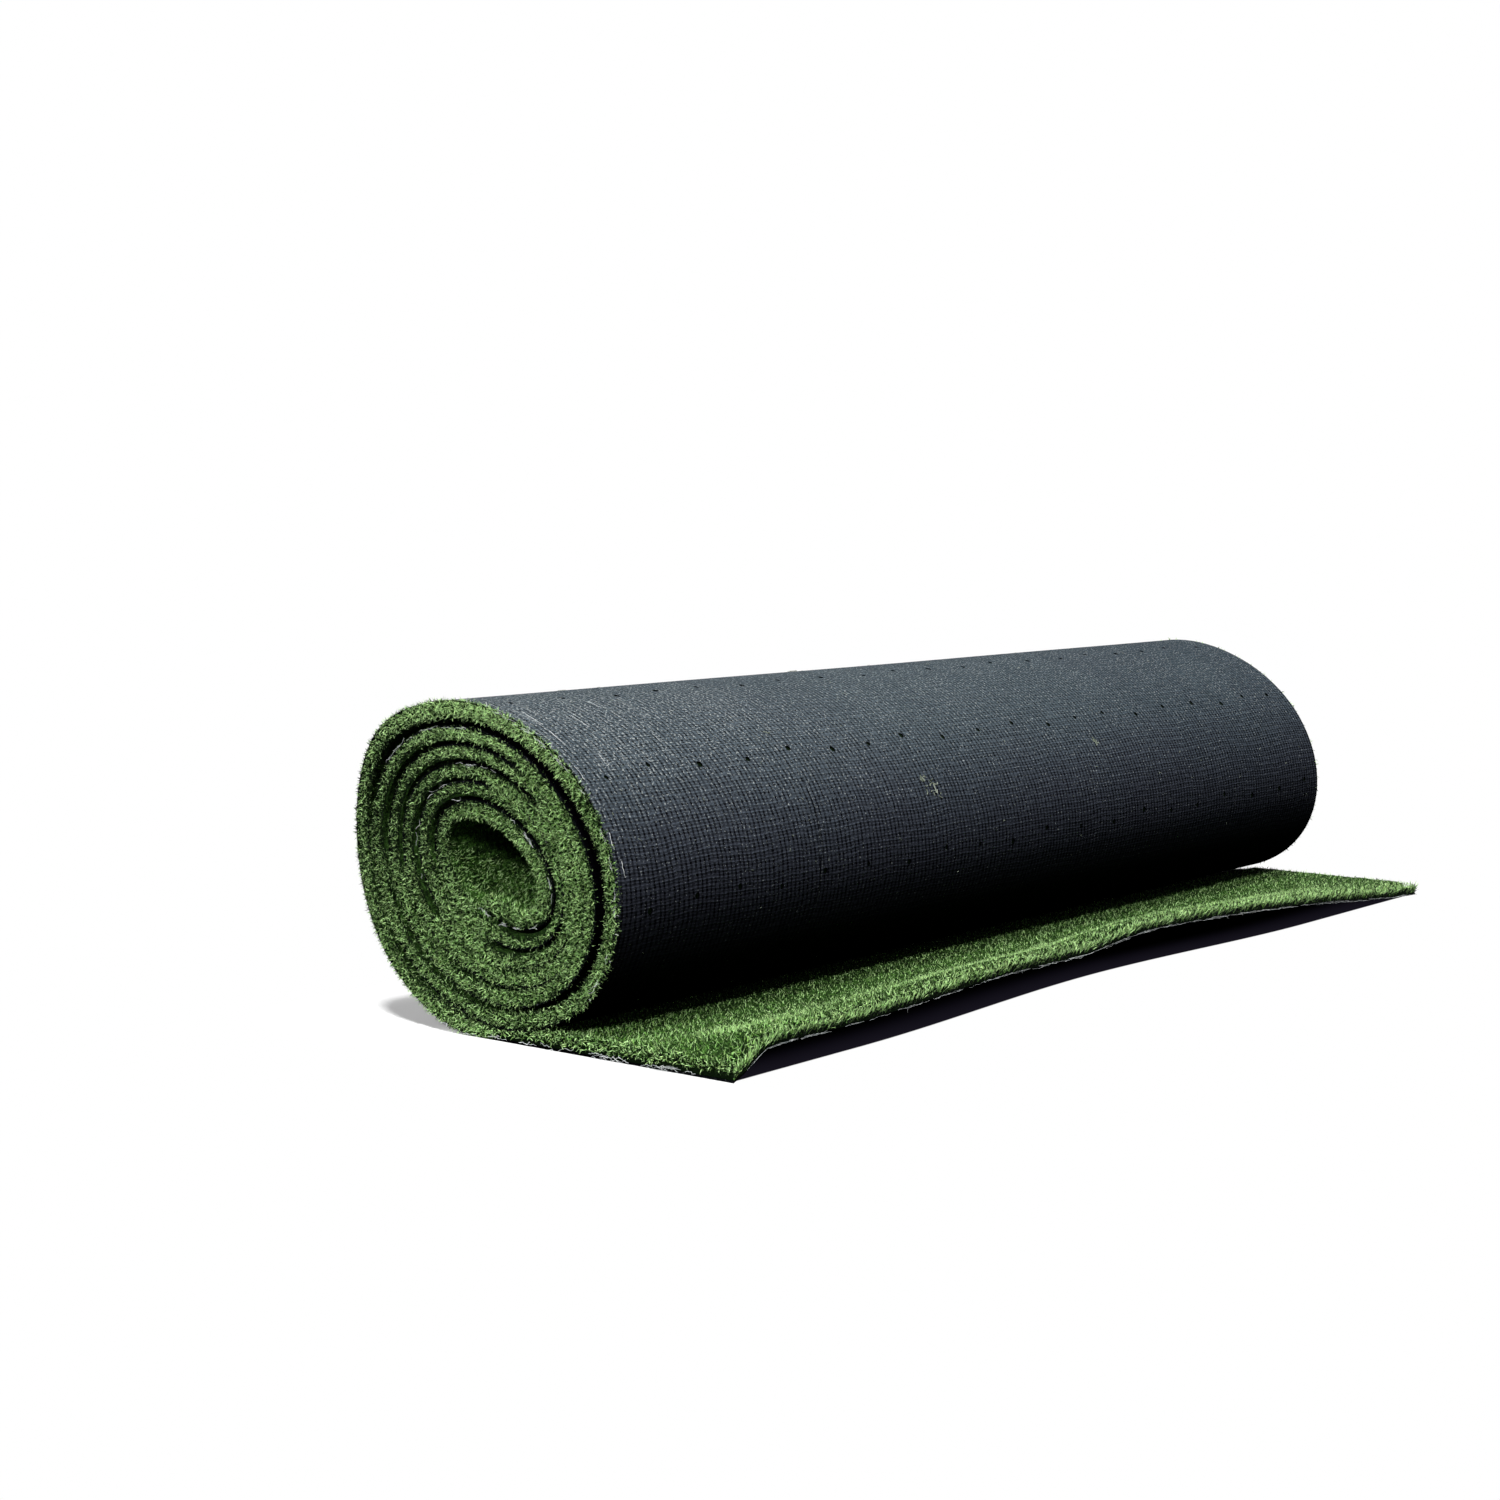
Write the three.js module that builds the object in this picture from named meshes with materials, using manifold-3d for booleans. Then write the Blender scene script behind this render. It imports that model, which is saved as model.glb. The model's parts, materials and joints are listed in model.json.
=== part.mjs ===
// A roll of artificial turf: one sheet, wound with its pile inwards, and its outer end left flat on the ground.
// Millimetres, and degrees where a name says so. Z is up, the roll's axis lies along Y, the flat end runs to +X.
import * as THREE from "three";
import { mergeGeometries, mergeVertices } from "three/addons/utils/BufferGeometryUtils.js";
import Module from "manifold-3d";

// The sheet
const SHEET_WIDTH = 2000;
const BACKING_THICKNESS = 2;
const PILE_HEIGHT = 23;
const LAYER_GAP = 0.3; // between two faces that touch

// The coil: each turn is an ellipse that leans to one side, one pitch larger than the turn inside it
const TURNS = 6; // from the inner end until the sheet comes round to that place for the last time
const TURN_SLACK = 0.6; // what a turn takes besides the sheet itself
const CORE_HALF_LENGTH = 105; // half axes of the coil at the inner end
const CORE_HALF_HEIGHT = 65;
const LEAN_DEG = 29; // how far the long axis falls towards +X
const START_DEG = -90; // where on its ellipse the inner end lies
const TURN_DRIFT = 7.4; // each turn's centre lies this much nearer -X than the one inside it
const TURN_SETTLE = 1.2; // and this much lower
const SAG = 6; // how far the roll's weight presses its underside flat

// The outer turn hangs loose round the coil's +X side and top
const LOOSE_GAPS = [
  // degrees wound from there to where the sheet meets the ground, gap under it at the -Y end, and at the +Y end
  [95, 0, 0],
  [115, 4, 2],
  [140, 13, 4],
  [165, 8, 4],
  [205, 12, 0],
  [250, 20, 6],
  [300, 14, 12],
  [345, 7, 6],
  [385, 0, 0],
];

// The -X side is pressed in, as a roll stays that has lain against another
const PRESSED_DEPTH = 17;
const PRESSED_DEG = 210; // the middle of the pressed side, on its ellipse
const PRESSED_SPREAD_DEG = 65;

// The flat end, whose free edge lifts off the ground in waves
const TAIL_LENGTH = 420; // from the coil's lowest line to the free edge
const LIFT_REACH = 190; // how far back from the free edge the sheet leaves the ground
const EDGE_LIFTS = [
  // share of the edge from its -Y corner, height over the ground
  [0, 0],
  [0.035, 32],
  [0.14, 34],
  [0.3, 46],
  [0.42, 46],
  [0.52, 58],
  [0.76, 36],
  [1, 0],
];

// Drainage holes burnt through the backing, in rows along the roll
const HOLE_DIAMETER = 9;
const HOLE_SPACING = 99; // from hole to hole in a row
const ROW_SPACING = 191;
const FIRST_ROW = 70; // from the free edge to the first row
const HOLE_STRAY = 7; // how far off its place a hole may be
const HOLE_SIDES = 6;

// How finely the curves are divided
const STEPS_PER_TURN = 48;
const TAIL_STEPS = 14;
const WIDTH_STEPS = 40;
const SLIVER_SIZE = 0.01; // what is thinner than this is tidied away after a cut

const SHEET_THICKNESS = BACKING_THICKNESS + LAYER_GAP + PILE_HEIGHT;
const TURN_PITCH = SHEET_THICKNESS + LAYER_GAP + TURN_SLACK;
const FULL_TURN = 2 * Math.PI;
const { clamp, degToRad, radToDeg, euclideanModulo, lerp, smoothstep } = THREE.MathUtils;

const lean = degToRad(LEAN_DEG);
const lowestAngle = Math.atan2(
  -(CORE_HALF_HEIGHT + TURN_PITCH * TURNS) * Math.cos(lean),
  (CORE_HALF_LENGTH + TURN_PITCH * TURNS) * Math.sin(lean),
);
const woundAngle = FULL_TURN * TURNS + lowestAngle - degToRad(START_DEG);
const coilSteps = Math.ceil((woundAngle / FULL_TURN) * STEPS_PER_TURN);
// The most that a straight step cuts off the curve.
const chordLoss = (CORE_HALF_LENGTH + TURN_PITCH * TURNS) * (1 - Math.cos(Math.PI / STEPS_PER_TURN));

// 1 in the middle of a smooth hump, and 0 from its spread on.
function hump(offset, spread) {
  return Math.abs(offset) < spread ? Math.cos((Math.PI / 2) * (offset / spread)) ** 2 : 0;
}

// A smooth curve through one column of a list whose first column is where each value holds, and never below 0.
function curveThrough(rows, column) {
  const curve = new THREE.SplineCurve(rows.map((row) => new THREE.Vector2(row[0], row[column])));
  return (at) => {
    const inside = clamp(at, rows[0][0], rows.at(-1)[0]);
    const after = Math.max(rows.findIndex(([place]) => place >= inside), 1);
    const share = (inside - rows[after - 1][0]) / (rows[after][0] - rows[after - 1][0]);
    return Math.max(curve.getPoint((after - 1 + share) / (rows.length - 1)).y, 0);
  };
}

// The backing's outer face at an angle wound from the inner end, from the outermost turn's centre.
function coilPoint(wound, looseGap) {
  const turn = wound / FULL_TURN;
  const angle = wound + degToRad(START_DEG);
  const pressedOffset = euclideanModulo(radToDeg(angle) - PRESSED_DEG + 180, 360) - 180;
  const pressed = PRESSED_DEPTH * (turn / TURNS) * hump(pressedOffset, PRESSED_SPREAD_DEG);
  const growth = TURN_PITCH * turn + looseGap(radToDeg(woundAngle - wound)) - pressed;
  const along = (CORE_HALF_LENGTH + growth) * Math.cos(angle);
  const across = (CORE_HALF_HEIGHT + growth) * Math.sin(angle);
  return new THREE.Vector2(
    TURN_DRIFT * (TURNS - turn) + along * Math.cos(lean) + across * Math.sin(lean),
    TURN_SETTLE * (TURNS - turn) + across * Math.cos(lean) - along * Math.sin(lean),
  );
}

// The larger of a height and the ground's, rounded where the two meet.
function restOnGround(height) {
  const inBand = Math.max(SAG - Math.abs(height), 0);
  return Math.max(height, 0) + (SAG > 0 ? inBand ** 2 / (4 * SAG) : 0);
}

function distanceToLine(point, start, end) {
  const line = new THREE.Line3(new THREE.Vector3(...start), new THREE.Vector3(...end));
  const at = new THREE.Vector3(...point);
  return line.closestPointToPoint(at, true, new THREE.Vector3()).distanceTo(at);
}

// The section of the sheet at one end of the roll, from its inner end to its free edge. For each step it has the
// point on the backing's outer face, the way to the pile, and the height of the pile there. The loose gap is a
// function of the degrees wound to the ground.
function section(looseGap) {
  const lowest = coilPoint(woundAngle, looseGap);
  const points = [];
  for (let i = 0; i <= coilSteps; i++) {
    const point = coilPoint(Math.min((FULL_TURN * i) / STEPS_PER_TURN, woundAngle), looseGap);
    point.y -= lowest.y + SAG;
    if (i > coilSteps - STEPS_PER_TURN / 2) point.y = restOnGround(point.y);
    points.push(point);
  }
  for (let i = 1; i <= TAIL_STEPS; i++) {
    points.push(new THREE.Vector2(lowest.x + (TAIL_LENGTH * i) / TAIL_STEPS, 0));
  }
  return points.map((point, i) => {
    const way = points[Math.min(i + 1, points.length - 1)].clone();
    way.sub(points[Math.max(i - 1, 0)]).normalize();
    // The pile fills the room up to the turn inside it, and is squeezed where that is less than its height.
    const inside = points.slice(0, Math.max(Math.min(i - STEPS_PER_TURN / 2, coilSteps), 0));
    const room = Math.min(...inside.slice(1).map((end, j) => distanceToLine(point, inside[j], end)));
    const pile = Math.min(PILE_HEIGHT, room - BACKING_THICKNESS - 2 * LAYER_GAP - chordLoss);
    return { point, toPile: new THREE.Vector2(-way.y, way.x), pile };
  });
}

const nearSection = section(curveThrough(LOOSE_GAPS, 1));
const farSection = section(curveThrough(LOOSE_GAPS, 2));
const lastStep = nearSection.length - 1;
const freeEdge = nearSection[lastStep].point.x;
const liftStart = freeEdge - Math.min(LIFT_REACH, TAIL_LENGTH);
const edgeHeight = curveThrough(EDGE_LIFTS, 1);

// How high the sheet lies over the flat section at a share of its width from the -Y edge.
function lift(x, share) {
  return edgeHeight(share) * smoothstep(x, liftStart, freeEdge);
}

// A point of the sheet: at a step along it, a share of its width, and a depth from the backing's outer face.
// The depth is a function of the section, so that it can follow the height of the pile.
function sheetPoint(step, share, depthOf) {
  const [near, far] = [nearSection[step], farSection[step]].map((at) =>
    at.point.clone().addScaledVector(at.toPile, depthOf(at)),
  );
  const raised = step > coilSteps ? lift(near.x, share) : 0;
  const height = lerp(near.y, far.y, share) + raised;
  return new THREE.Vector3(lerp(near.x, far.x, share), (share - 0.5) * SHEET_WIDTH, height);
}

// The points across the sheet at one step: the two ends where it is straight, and many where it is lifted.
function acrossSheet(step, depthOf) {
  const pieces = step > coilSteps && nearSection[step].point.x > liftStart ? WIDTH_STEPS : 1;
  return Array.from({ length: pieces + 1 }, (_, i) => sheetPoint(step, i / pieces, depthOf));
}

// Triangles between two rows of points that both run along +Y, however many points each has.
function stitch(rowA, rowB, facesDown, triangles) {
  let a = 0;
  let b = 0;
  const add = (p, q, r) => triangles.push(...(facesDown ? [p, q, r] : [p, r, q]));
  while (a < rowA.length - 1 || b < rowB.length - 1) {
    const nextA = a < rowA.length - 1 ? (a + 1) / (rowA.length - 1) : Infinity;
    const nextB = b < rowB.length - 1 ? (b + 1) / (rowB.length - 1) : Infinity;
    if (nextA <= nextB) {
      add(rowA[a], rowA[a + 1], rowB[b]);
      a += 1;
    } else {
      add(rowA[a], rowB[b + 1], rowB[b]);
      b += 1;
    }
  }
}

// The closed layer of the sheet between two depths, each a function of the section.
function layerGeometry(outerDepth, innerDepth) {
  const triangles = [];
  const rows = nearSection.map((_, step) => [acrossSheet(step, outerDepth), acrossSheet(step, innerDepth)]);
  for (let step = 0; step < lastStep; step++) {
    const [outer, inner] = rows[step];
    const [nextOuter, nextInner] = rows[step + 1];
    stitch(outer, nextOuter, true, triangles);
    stitch(inner, nextInner, false, triangles);
    stitch([outer[0], inner[0]], [nextOuter[0], nextInner[0]], false, triangles);
    stitch([outer.at(-1), inner.at(-1)], [nextOuter.at(-1), nextInner.at(-1)], true, triangles);
  }
  stitch(rows[0][0], rows[0][1], false, triangles);
  stitch(rows[lastStep][0], rows[lastStep][1], true, triangles);
  return mergeVertices(new THREE.BufferGeometry().setFromPoints(triangles));
}

// Where a row of holes lies on the sheet: the step after it, and its share of the way from the step before.
function rowPlace(fromFreeEdge) {
  let left = fromFreeEdge;
  for (let step = lastStep; step > 0; step--) {
    const length = nearSection[step].point.distanceTo(nearSection[step - 1].point);
    if (left < length) return { step, share: 1 - left / length };
    left -= length;
  }
  return null;
}

// How much of the sheet lies open: the flat end and the whole outer turn.
const openLength = nearSection.slice(lastStep - TAIL_STEPS - STEPS_PER_TURN).reduce(
  (sum, { point }, i, steps) => sum + (i > 0 ? point.distanceTo(steps[i - 1].point) : 0),
  0,
);

// How far off its place a hole is, as a share of the most.
function stray(first, second) {
  return Math.sin(7.3 * first + 4.1 * second);
}

// The cutters of the drainage holes, on the flat end and the outer turn, as one geometry of separate prisms.
function holeCutters() {
  const length = 3 * BACKING_THICKNESS;
  const columns = Math.floor(SHEET_WIDTH / HOLE_SPACING);
  const firstColumn = (SHEET_WIDTH - (columns - 1) * HOLE_SPACING) / 2;
  const cutters = [];
  const rows = Math.ceil((openLength - FIRST_ROW) / ROW_SPACING);
  for (let row = 0; row < rows; row++) {
    for (let column = 0; column < columns; column++) {
      const { step, share } = rowPlace(FIRST_ROW + row * ROW_SPACING + HOLE_STRAY * stray(row, column));
      const across = (firstColumn + column * HOLE_SPACING + HOLE_STRAY * stray(column, row)) / SHEET_WIDTH;
      const [outer, inner] = [() => 0, () => BACKING_THICKNESS].map((depthOf) =>
        sheetPoint(step - 1, across, depthOf).lerp(sheetPoint(step, across, depthOf), share),
      );
      const axis = inner.clone().sub(outer).normalize();
      const cutter = new THREE.CylinderGeometry(HOLE_DIAMETER / 2, HOLE_DIAMETER / 2, length, HOLE_SIDES);
      cutter.applyQuaternion(new THREE.Quaternion().setFromUnitVectors(new THREE.Vector3(0, 1, 0), axis));
      cutter.translate(...outer.add(inner).divideScalar(2).toArray());
      cutters.push(cutter);
    }
  }
  return mergeGeometries(cutters);
}

const wasm = await Module();
wasm.setup();

function toSolid(geometry) {
  const bare = new THREE.BufferGeometry().setAttribute("position", geometry.getAttribute("position"));
  const merged = mergeVertices(bare.setIndex(geometry.getIndex()));
  return new wasm.Manifold(
    new wasm.Mesh({
      numProp: 3,
      vertProperties: new Float32Array(merged.getAttribute("position").array),
      triVerts: new Uint32Array(merged.getIndex().array),
    }),
  );
}

function toGeometry(solid) {
  const { vertProperties, triVerts } = solid.getMesh();
  const geometry = new THREE.BufferGeometry();
  geometry.setAttribute("position", new THREE.BufferAttribute(vertProperties, 3));
  geometry.setIndex(new THREE.BufferAttribute(triVerts, 1));
  geometry.computeVertexNormals();
  return geometry;
}

// The black woven backing, with its drainage holes.
function backing() {
  const sheet = toSolid(layerGeometry(() => 0, () => BACKING_THICKNESS));
  const geometry = toGeometry(sheet.subtract(toSolid(holeCutters())).simplify(SLIVER_SIZE));
  const material = new THREE.MeshStandardMaterial({ color: 0x22272b, roughness: 0.8, metalness: 0 });
  const mesh = new THREE.Mesh(geometry, material);
  mesh.name = "backing";
  return mesh;
}

// The green pile, as one soft layer on the backing.
function pile() {
  const foot = BACKING_THICKNESS + LAYER_GAP;
  const geometry = layerGeometry(() => foot, (at) => foot + at.pile);
  geometry.computeVertexNormals();
  const material = new THREE.MeshStandardMaterial({ color: 0x4f8a3a, roughness: 0.95, metalness: 0 });
  const mesh = new THREE.Mesh(geometry, material);
  mesh.name = "pile";
  return mesh;
}

const turfRoll = new THREE.Group();
turfRoll.name = "turf_roll";
turfRoll.add(backing(), pile());

// The origin lies on the ground under the middle of the whole roll.
const bounds = new THREE.Box3().setFromObject(turfRoll);
turfRoll.position.x = -(bounds.min.x + bounds.max.x) / 2;

export default turfRoll;
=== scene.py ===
"""A roll of artificial turf: black woven backing with its pile wound inwards, and a flat outer end."""

import json
import math
import random

import bmesh
import bpy
import numpy as np
from bpy.props import FloatProperty, FloatVectorProperty, IntProperty, PointerProperty
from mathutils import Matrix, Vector, noise

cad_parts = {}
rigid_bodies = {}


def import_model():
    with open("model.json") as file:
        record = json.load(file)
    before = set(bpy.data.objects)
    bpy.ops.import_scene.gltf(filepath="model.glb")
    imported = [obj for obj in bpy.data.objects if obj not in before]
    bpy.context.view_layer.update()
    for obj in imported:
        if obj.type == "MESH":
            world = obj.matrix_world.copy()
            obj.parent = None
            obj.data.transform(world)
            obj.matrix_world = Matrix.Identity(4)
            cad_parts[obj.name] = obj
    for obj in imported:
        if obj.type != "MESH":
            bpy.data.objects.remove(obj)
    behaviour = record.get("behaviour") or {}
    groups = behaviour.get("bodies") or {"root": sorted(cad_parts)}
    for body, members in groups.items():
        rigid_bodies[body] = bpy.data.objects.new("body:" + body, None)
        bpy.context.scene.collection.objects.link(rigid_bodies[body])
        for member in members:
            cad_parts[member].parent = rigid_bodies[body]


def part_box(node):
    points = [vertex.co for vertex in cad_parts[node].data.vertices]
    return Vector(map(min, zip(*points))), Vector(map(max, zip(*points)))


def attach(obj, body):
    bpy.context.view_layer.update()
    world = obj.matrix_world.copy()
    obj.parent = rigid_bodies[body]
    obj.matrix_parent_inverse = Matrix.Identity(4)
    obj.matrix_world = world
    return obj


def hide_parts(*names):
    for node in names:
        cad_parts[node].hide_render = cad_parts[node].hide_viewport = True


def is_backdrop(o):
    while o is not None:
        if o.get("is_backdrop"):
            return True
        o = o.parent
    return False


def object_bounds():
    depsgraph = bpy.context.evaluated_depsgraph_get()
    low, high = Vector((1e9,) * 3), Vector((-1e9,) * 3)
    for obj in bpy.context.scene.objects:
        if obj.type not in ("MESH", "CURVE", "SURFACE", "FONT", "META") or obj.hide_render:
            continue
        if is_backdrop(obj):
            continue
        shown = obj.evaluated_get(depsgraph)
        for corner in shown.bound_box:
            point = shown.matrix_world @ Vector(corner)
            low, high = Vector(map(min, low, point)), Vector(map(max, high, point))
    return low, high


bl_info = {
    "name": "Turf roll",
    "version": (1, 0, 0),
    "blender": (4, 5, 0),
    "location": "3D View > Sidebar > Turf roll",
    "description": "Dresses a packed roll of artificial turf with backing, pile and loose threads",
    "category": "Add Mesh",
}

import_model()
CAD_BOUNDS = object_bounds()

FULL_TURN = 2 * math.pi
STEPS_PER_TURN = 96
TAIL_STEPS = 56
GROUND_CLEARANCE = 0.0002
HOLE_CORNERS = 10
CUT_SIDE_UV = 3  # the cut sides' flat place lies this far off the sheet's own
CURVE_TOLERANCE = 0.0012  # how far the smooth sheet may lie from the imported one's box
# A painted tint: it gives the shade low down on the backing its purple cast.
LOW_SHADE_TINT = (1.08, 0.90, 1.0)  # the backing's colour is multiplied by it low down

# Degrees wound from there to where the sheet meets the ground, gap under the outer turn at -Y and at +Y.
LOOSE_GAPS = [
    (95, 0, 0),
    (115, 0.004, 0.002),
    (140, 0.013, 0.004),
    (165, 0.008, 0.004),
    (205, 0.012, 0),
    (250, 0.020, 0.006),
    (300, 0.014, 0.012),
    (345, 0.007, 0.006),
    (385, 0, 0),
]
SLACK_FROM, SLACK_TO = (70, 130), (372, 330)  # degrees over which the outer turn's waves set in and end

# Share of the free edge from its -Y corner, height over the ground.
EDGE_LIFTS = [
    (0, 0), (0.035, 0.032), (0.14, 0.034), (0.3, 0.046),
    (0.42, 0.046), (0.52, 0.058), (0.76, 0.036), (1, 0),
]

# Turns wound, from and to, where the backing's cut edge shows between the blades of the -Y end, and how wide.
OPEN_SEAMS = [
    (0, 0.10, 0.8), (0.12, 0.36, 2.8), (0.34, 0.68, 1.8), (0.60, 0.83, 1),
    (1.08, 1.26, 1.3), (1.58, 1.93, 1),
    (2.10, 2.24, 0.5), (2.48, 2.84, 1.3),
    (3.02, 3.18, 0.5), (3.52, 3.82, 1.2), (3.92, 4.08, 0.6),
    (4.13, 4.42, 0.7), (4.40, 4.58, 0.6), (4.56, 4.76, 0.8), (4.96, 5.17, 0.9),
]
SEAM_FADE = 0.04
LOOSE_TURN = 5.1  # from here on the sheet hangs loose round the coil

# Turns wound, from and to, how many loose threads lie along the backing's cut edge there, and the longest.
FRAYED_SEAMS = [
    (0.0, 0.03, 4, 0.012), (0.05, 0.09, 3, 0.014), (0.10, 0.24, 4, 0.022),
    (0.30, 0.40, 4, 0.020), (0.43, 0.52, 4, 0.020), (0.60, 0.68, 2, 0.014),
    (1.60, 1.72, 4, 0.022), (1.78, 1.92, 3, 0.022), (2.47, 2.62, 6, 0.020),
    (4.56, 4.62, 3, 0.022), (4.62, 4.74, 9, 0.024),
    (5.22, 5.30, 6, 0.014), (5.31, 5.37, 9, 0.016), (5.385, 5.395, 3, 0.012), (5.425, 5.435, 3, 0.012),
    (5.452, 5.470, 7, 0.014), (5.480, 5.506, 9, 0.016), (5.515, 5.542, 7, 0.016),
    (6.00, 6.34, 10, 0.030), (6.35, 6.43, 8, 0.020), (6.30, 6.62, 8, 0.030), (6.50, 6.58, 9, 0.024),
]
# Share of the width, and turns wound, from and to, of threads that lie on the outer turn.
WARP_THREADS = [
    (0.004, 5.375, 5.39), (0.007, 5.44, 5.455), (0.009, 5.35, 5.365), (0.016, 5.48, 5.50),
    (0.018, 5.51, 5.535), (0.0375, 5.45, 5.465), (0.055, 5.50, 5.52), (0.0935, 5.53, 5.545),
]
# Turns wound and share of the width at each bend of the fibres that stick to the outer turn.
STUCK_FIBRES = [
    [(5.401, 0.365), (5.3975, 0.3636), (5.3940, 0.3648)],
    [(5.3906, 0.3725), (5.3916, 0.3755), (5.3900, 0.379)],
    [(5.386, 0.365), (5.383, 0.366), (5.3806, 0.3645)],
    [(5.3880, 0.3765), (5.3840, 0.3775), (5.3810, 0.3768)],
    [(5.3776, 0.3785), (5.375, 0.3825)],
    [(5.6146, 0.3925), (5.616, 0.396), (5.612, 0.399)],
    [(5.4167, 0.6275), (5.413, 0.629), (5.4062, 0.6275)],
    [(5.3828, 0.6125), (5.382, 0.6145)],
    [(5.47, 0.22), (5.467, 0.223), (5.468, 0.226)],
]
# Turns wound, share of the width, half the width and the count of fibres of the tangles on the outer turn.
LINT_TANGLES = [
    (5.3890, 0.3745, 0.016, 15), (5.3970, 0.3655, 0.007, 5),
    (5.6140, 0.3950, 0.006, 4), (5.4130, 0.6280, 0.006, 4),
]
CURLED_TURNS = (5.22, 5.62)  # where loops stand off the outer turn's cut edge
# Depths of what lies on the backing's outer face.
LINT_DEPTH, SHORT_FIBRE_DEPTH, WARP_DEPTH = -0.0009, -0.0005, -0.0006
THREAD_POINTS = 10
CURLS, EDGE_THREADS, HANGING_THREADS = 16, 130, 7
LONG_HANGING_THREAD = (0.186, 0.006, 0.009)  # share of the width, length, and how far it hangs
# Depths, height of the waves and radii of the threads that fray from the flat end, and from the coil.
FLAT_FRAY = ((0.0004, 0.0070), 0.0012, (0.0002, 0.0004))
COIL_FRAY = ((0.0002, 0.0026), 0.0006, (0.00014, 0.00028))

PILE_FILL = 0.84  # the dense mass's share of the pile's height
MASS_DROP = 0.0008
MASS_INSET = 0.0012  # of the sheet's width at each end
ROUGH_SCALE, ROUGH_HEIGHT = 130, 0.0016
BLADE_FOOT = 0.72  # share of the pile's height at which the blades on top of it stand
END_RECESS = 0.001  # how far inside the cut end its blades stand
END_ROWS = 7
FLAT_MARGIN = 8  # steps past the coil at which the flat end's pile lies open
BACKING_COLUMNS, OPEN_PILE_COLUMNS, CORE_PILE_COLUMNS, HIDDEN_COLUMNS = 96, 240, 60, 4

# Width as a share of the blade width, height, bends, segments, and attribute tip at the root, for each kind.
BLADE_KINDS = {
    "fine": (1.0, 0.0078, (0.3, 0.8, 1.2), 1, 0.08),
    "curled": (1.0, 0.0092, (0.4, 1.2, 1.9, 2.6, -1.5, -2.2), 2, 0.0),
    "long": (1.0, 0.0105, (0.5, 1.3, 2.1, 2.9, -1.3, -2.2), 3, 0.0),
    "bent": (1.3, 0.0105, (0.5, 1.2, 1.9, -0.9), 2, 0.0),
    "spikes": (1.1, 0.0075, (0.0, 0.6, 1.0), 1, 0.3),
    "tall": (1.2, 0.0205, (0.1, 0.35, 0.6, 0.9, -0.3, -0.6), 3, 0.0),
}


# ---------------------------------------------------------------- settings


def setting(kind, **limits):
    """A maker of settings of one kind, from a name, a description and a default."""

    def made(name, description, default):
        return kind(name=name, description=description, default=default, **limits)

    return made


length = setting(FloatProperty, subtype="DISTANCE", unit="LENGTH")
lens_length = setting(FloatProperty, unit="CAMERA")
location = setting(FloatVectorProperty, unit="LENGTH")
colour = setting(FloatVectorProperty, subtype="COLOR", min=0, max=1)
count = setting(IntProperty, min=0)
strength = setting(FloatProperty, min=0)


def angle(name, description, degrees):
    return FloatProperty(name=name, description=description, default=math.radians(degrees), subtype="ANGLE")


class TurfSheetSettings(bpy.types.PropertyGroup):
    """The sheet and the way it is wound"""

    width: length("Sheet width", "From one cut end of the roll to the other", 2.0)
    backing_thickness: length("Backing thickness", "The woven backing with its coat", 0.002)
    pile_height: length("Pile height", "From the backing to the tips, where nothing squeezes it", 0.023)
    layer_gap: length("Layer gap", "Between two faces that touch", 0.0003)
    turns: count("Turns", "How often the sheet is wound round", 6)
    turn_slack: length("Turn slack", "What a turn takes besides the sheet itself", 0.0006)
    core_half_length: length("Core half length", "Long half axis of the coil at the inner end", 0.105)
    core_half_height: length("Core half height", "Short half axis of the coil at the inner end", 0.065)
    lean: angle("Lean", "How far the long axis falls to +X", 29)
    start: angle("Start", "Where the inner end lies", -90)
    turn_drift: length("Turn drift", "How far each turn's centre lies to -X of the one inside it", 0.0074)
    turn_settle: length("Turn settle", "How far each turn's centre lies below the one inside it", 0.0012)
    sag: length("Sag", "How far the roll's weight presses its underside flat", 0.006)
    pressed_depth: length("Pressed depth", "How far the -X side is pushed in", 0.017)
    pressed_at: angle("Pressed at", "Middle of the pressed side", 210)
    pressed_spread: angle("Pressed spread", "To each side of the middle", 65)
    tail_length: length("Flat end", "From the coil's lowest line to the free edge", 0.42)
    lift_reach: length("Lift reach", "How far back from the free edge the sheet leaves the ground", 0.19)
    edge_wander: length("Edge wander", "How far the cut edges step in and out from turn to turn", 0.0022)
    slack_wave: length("Slack wave", "Height of the soft waves in the outer turn", 0.0016)


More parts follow.
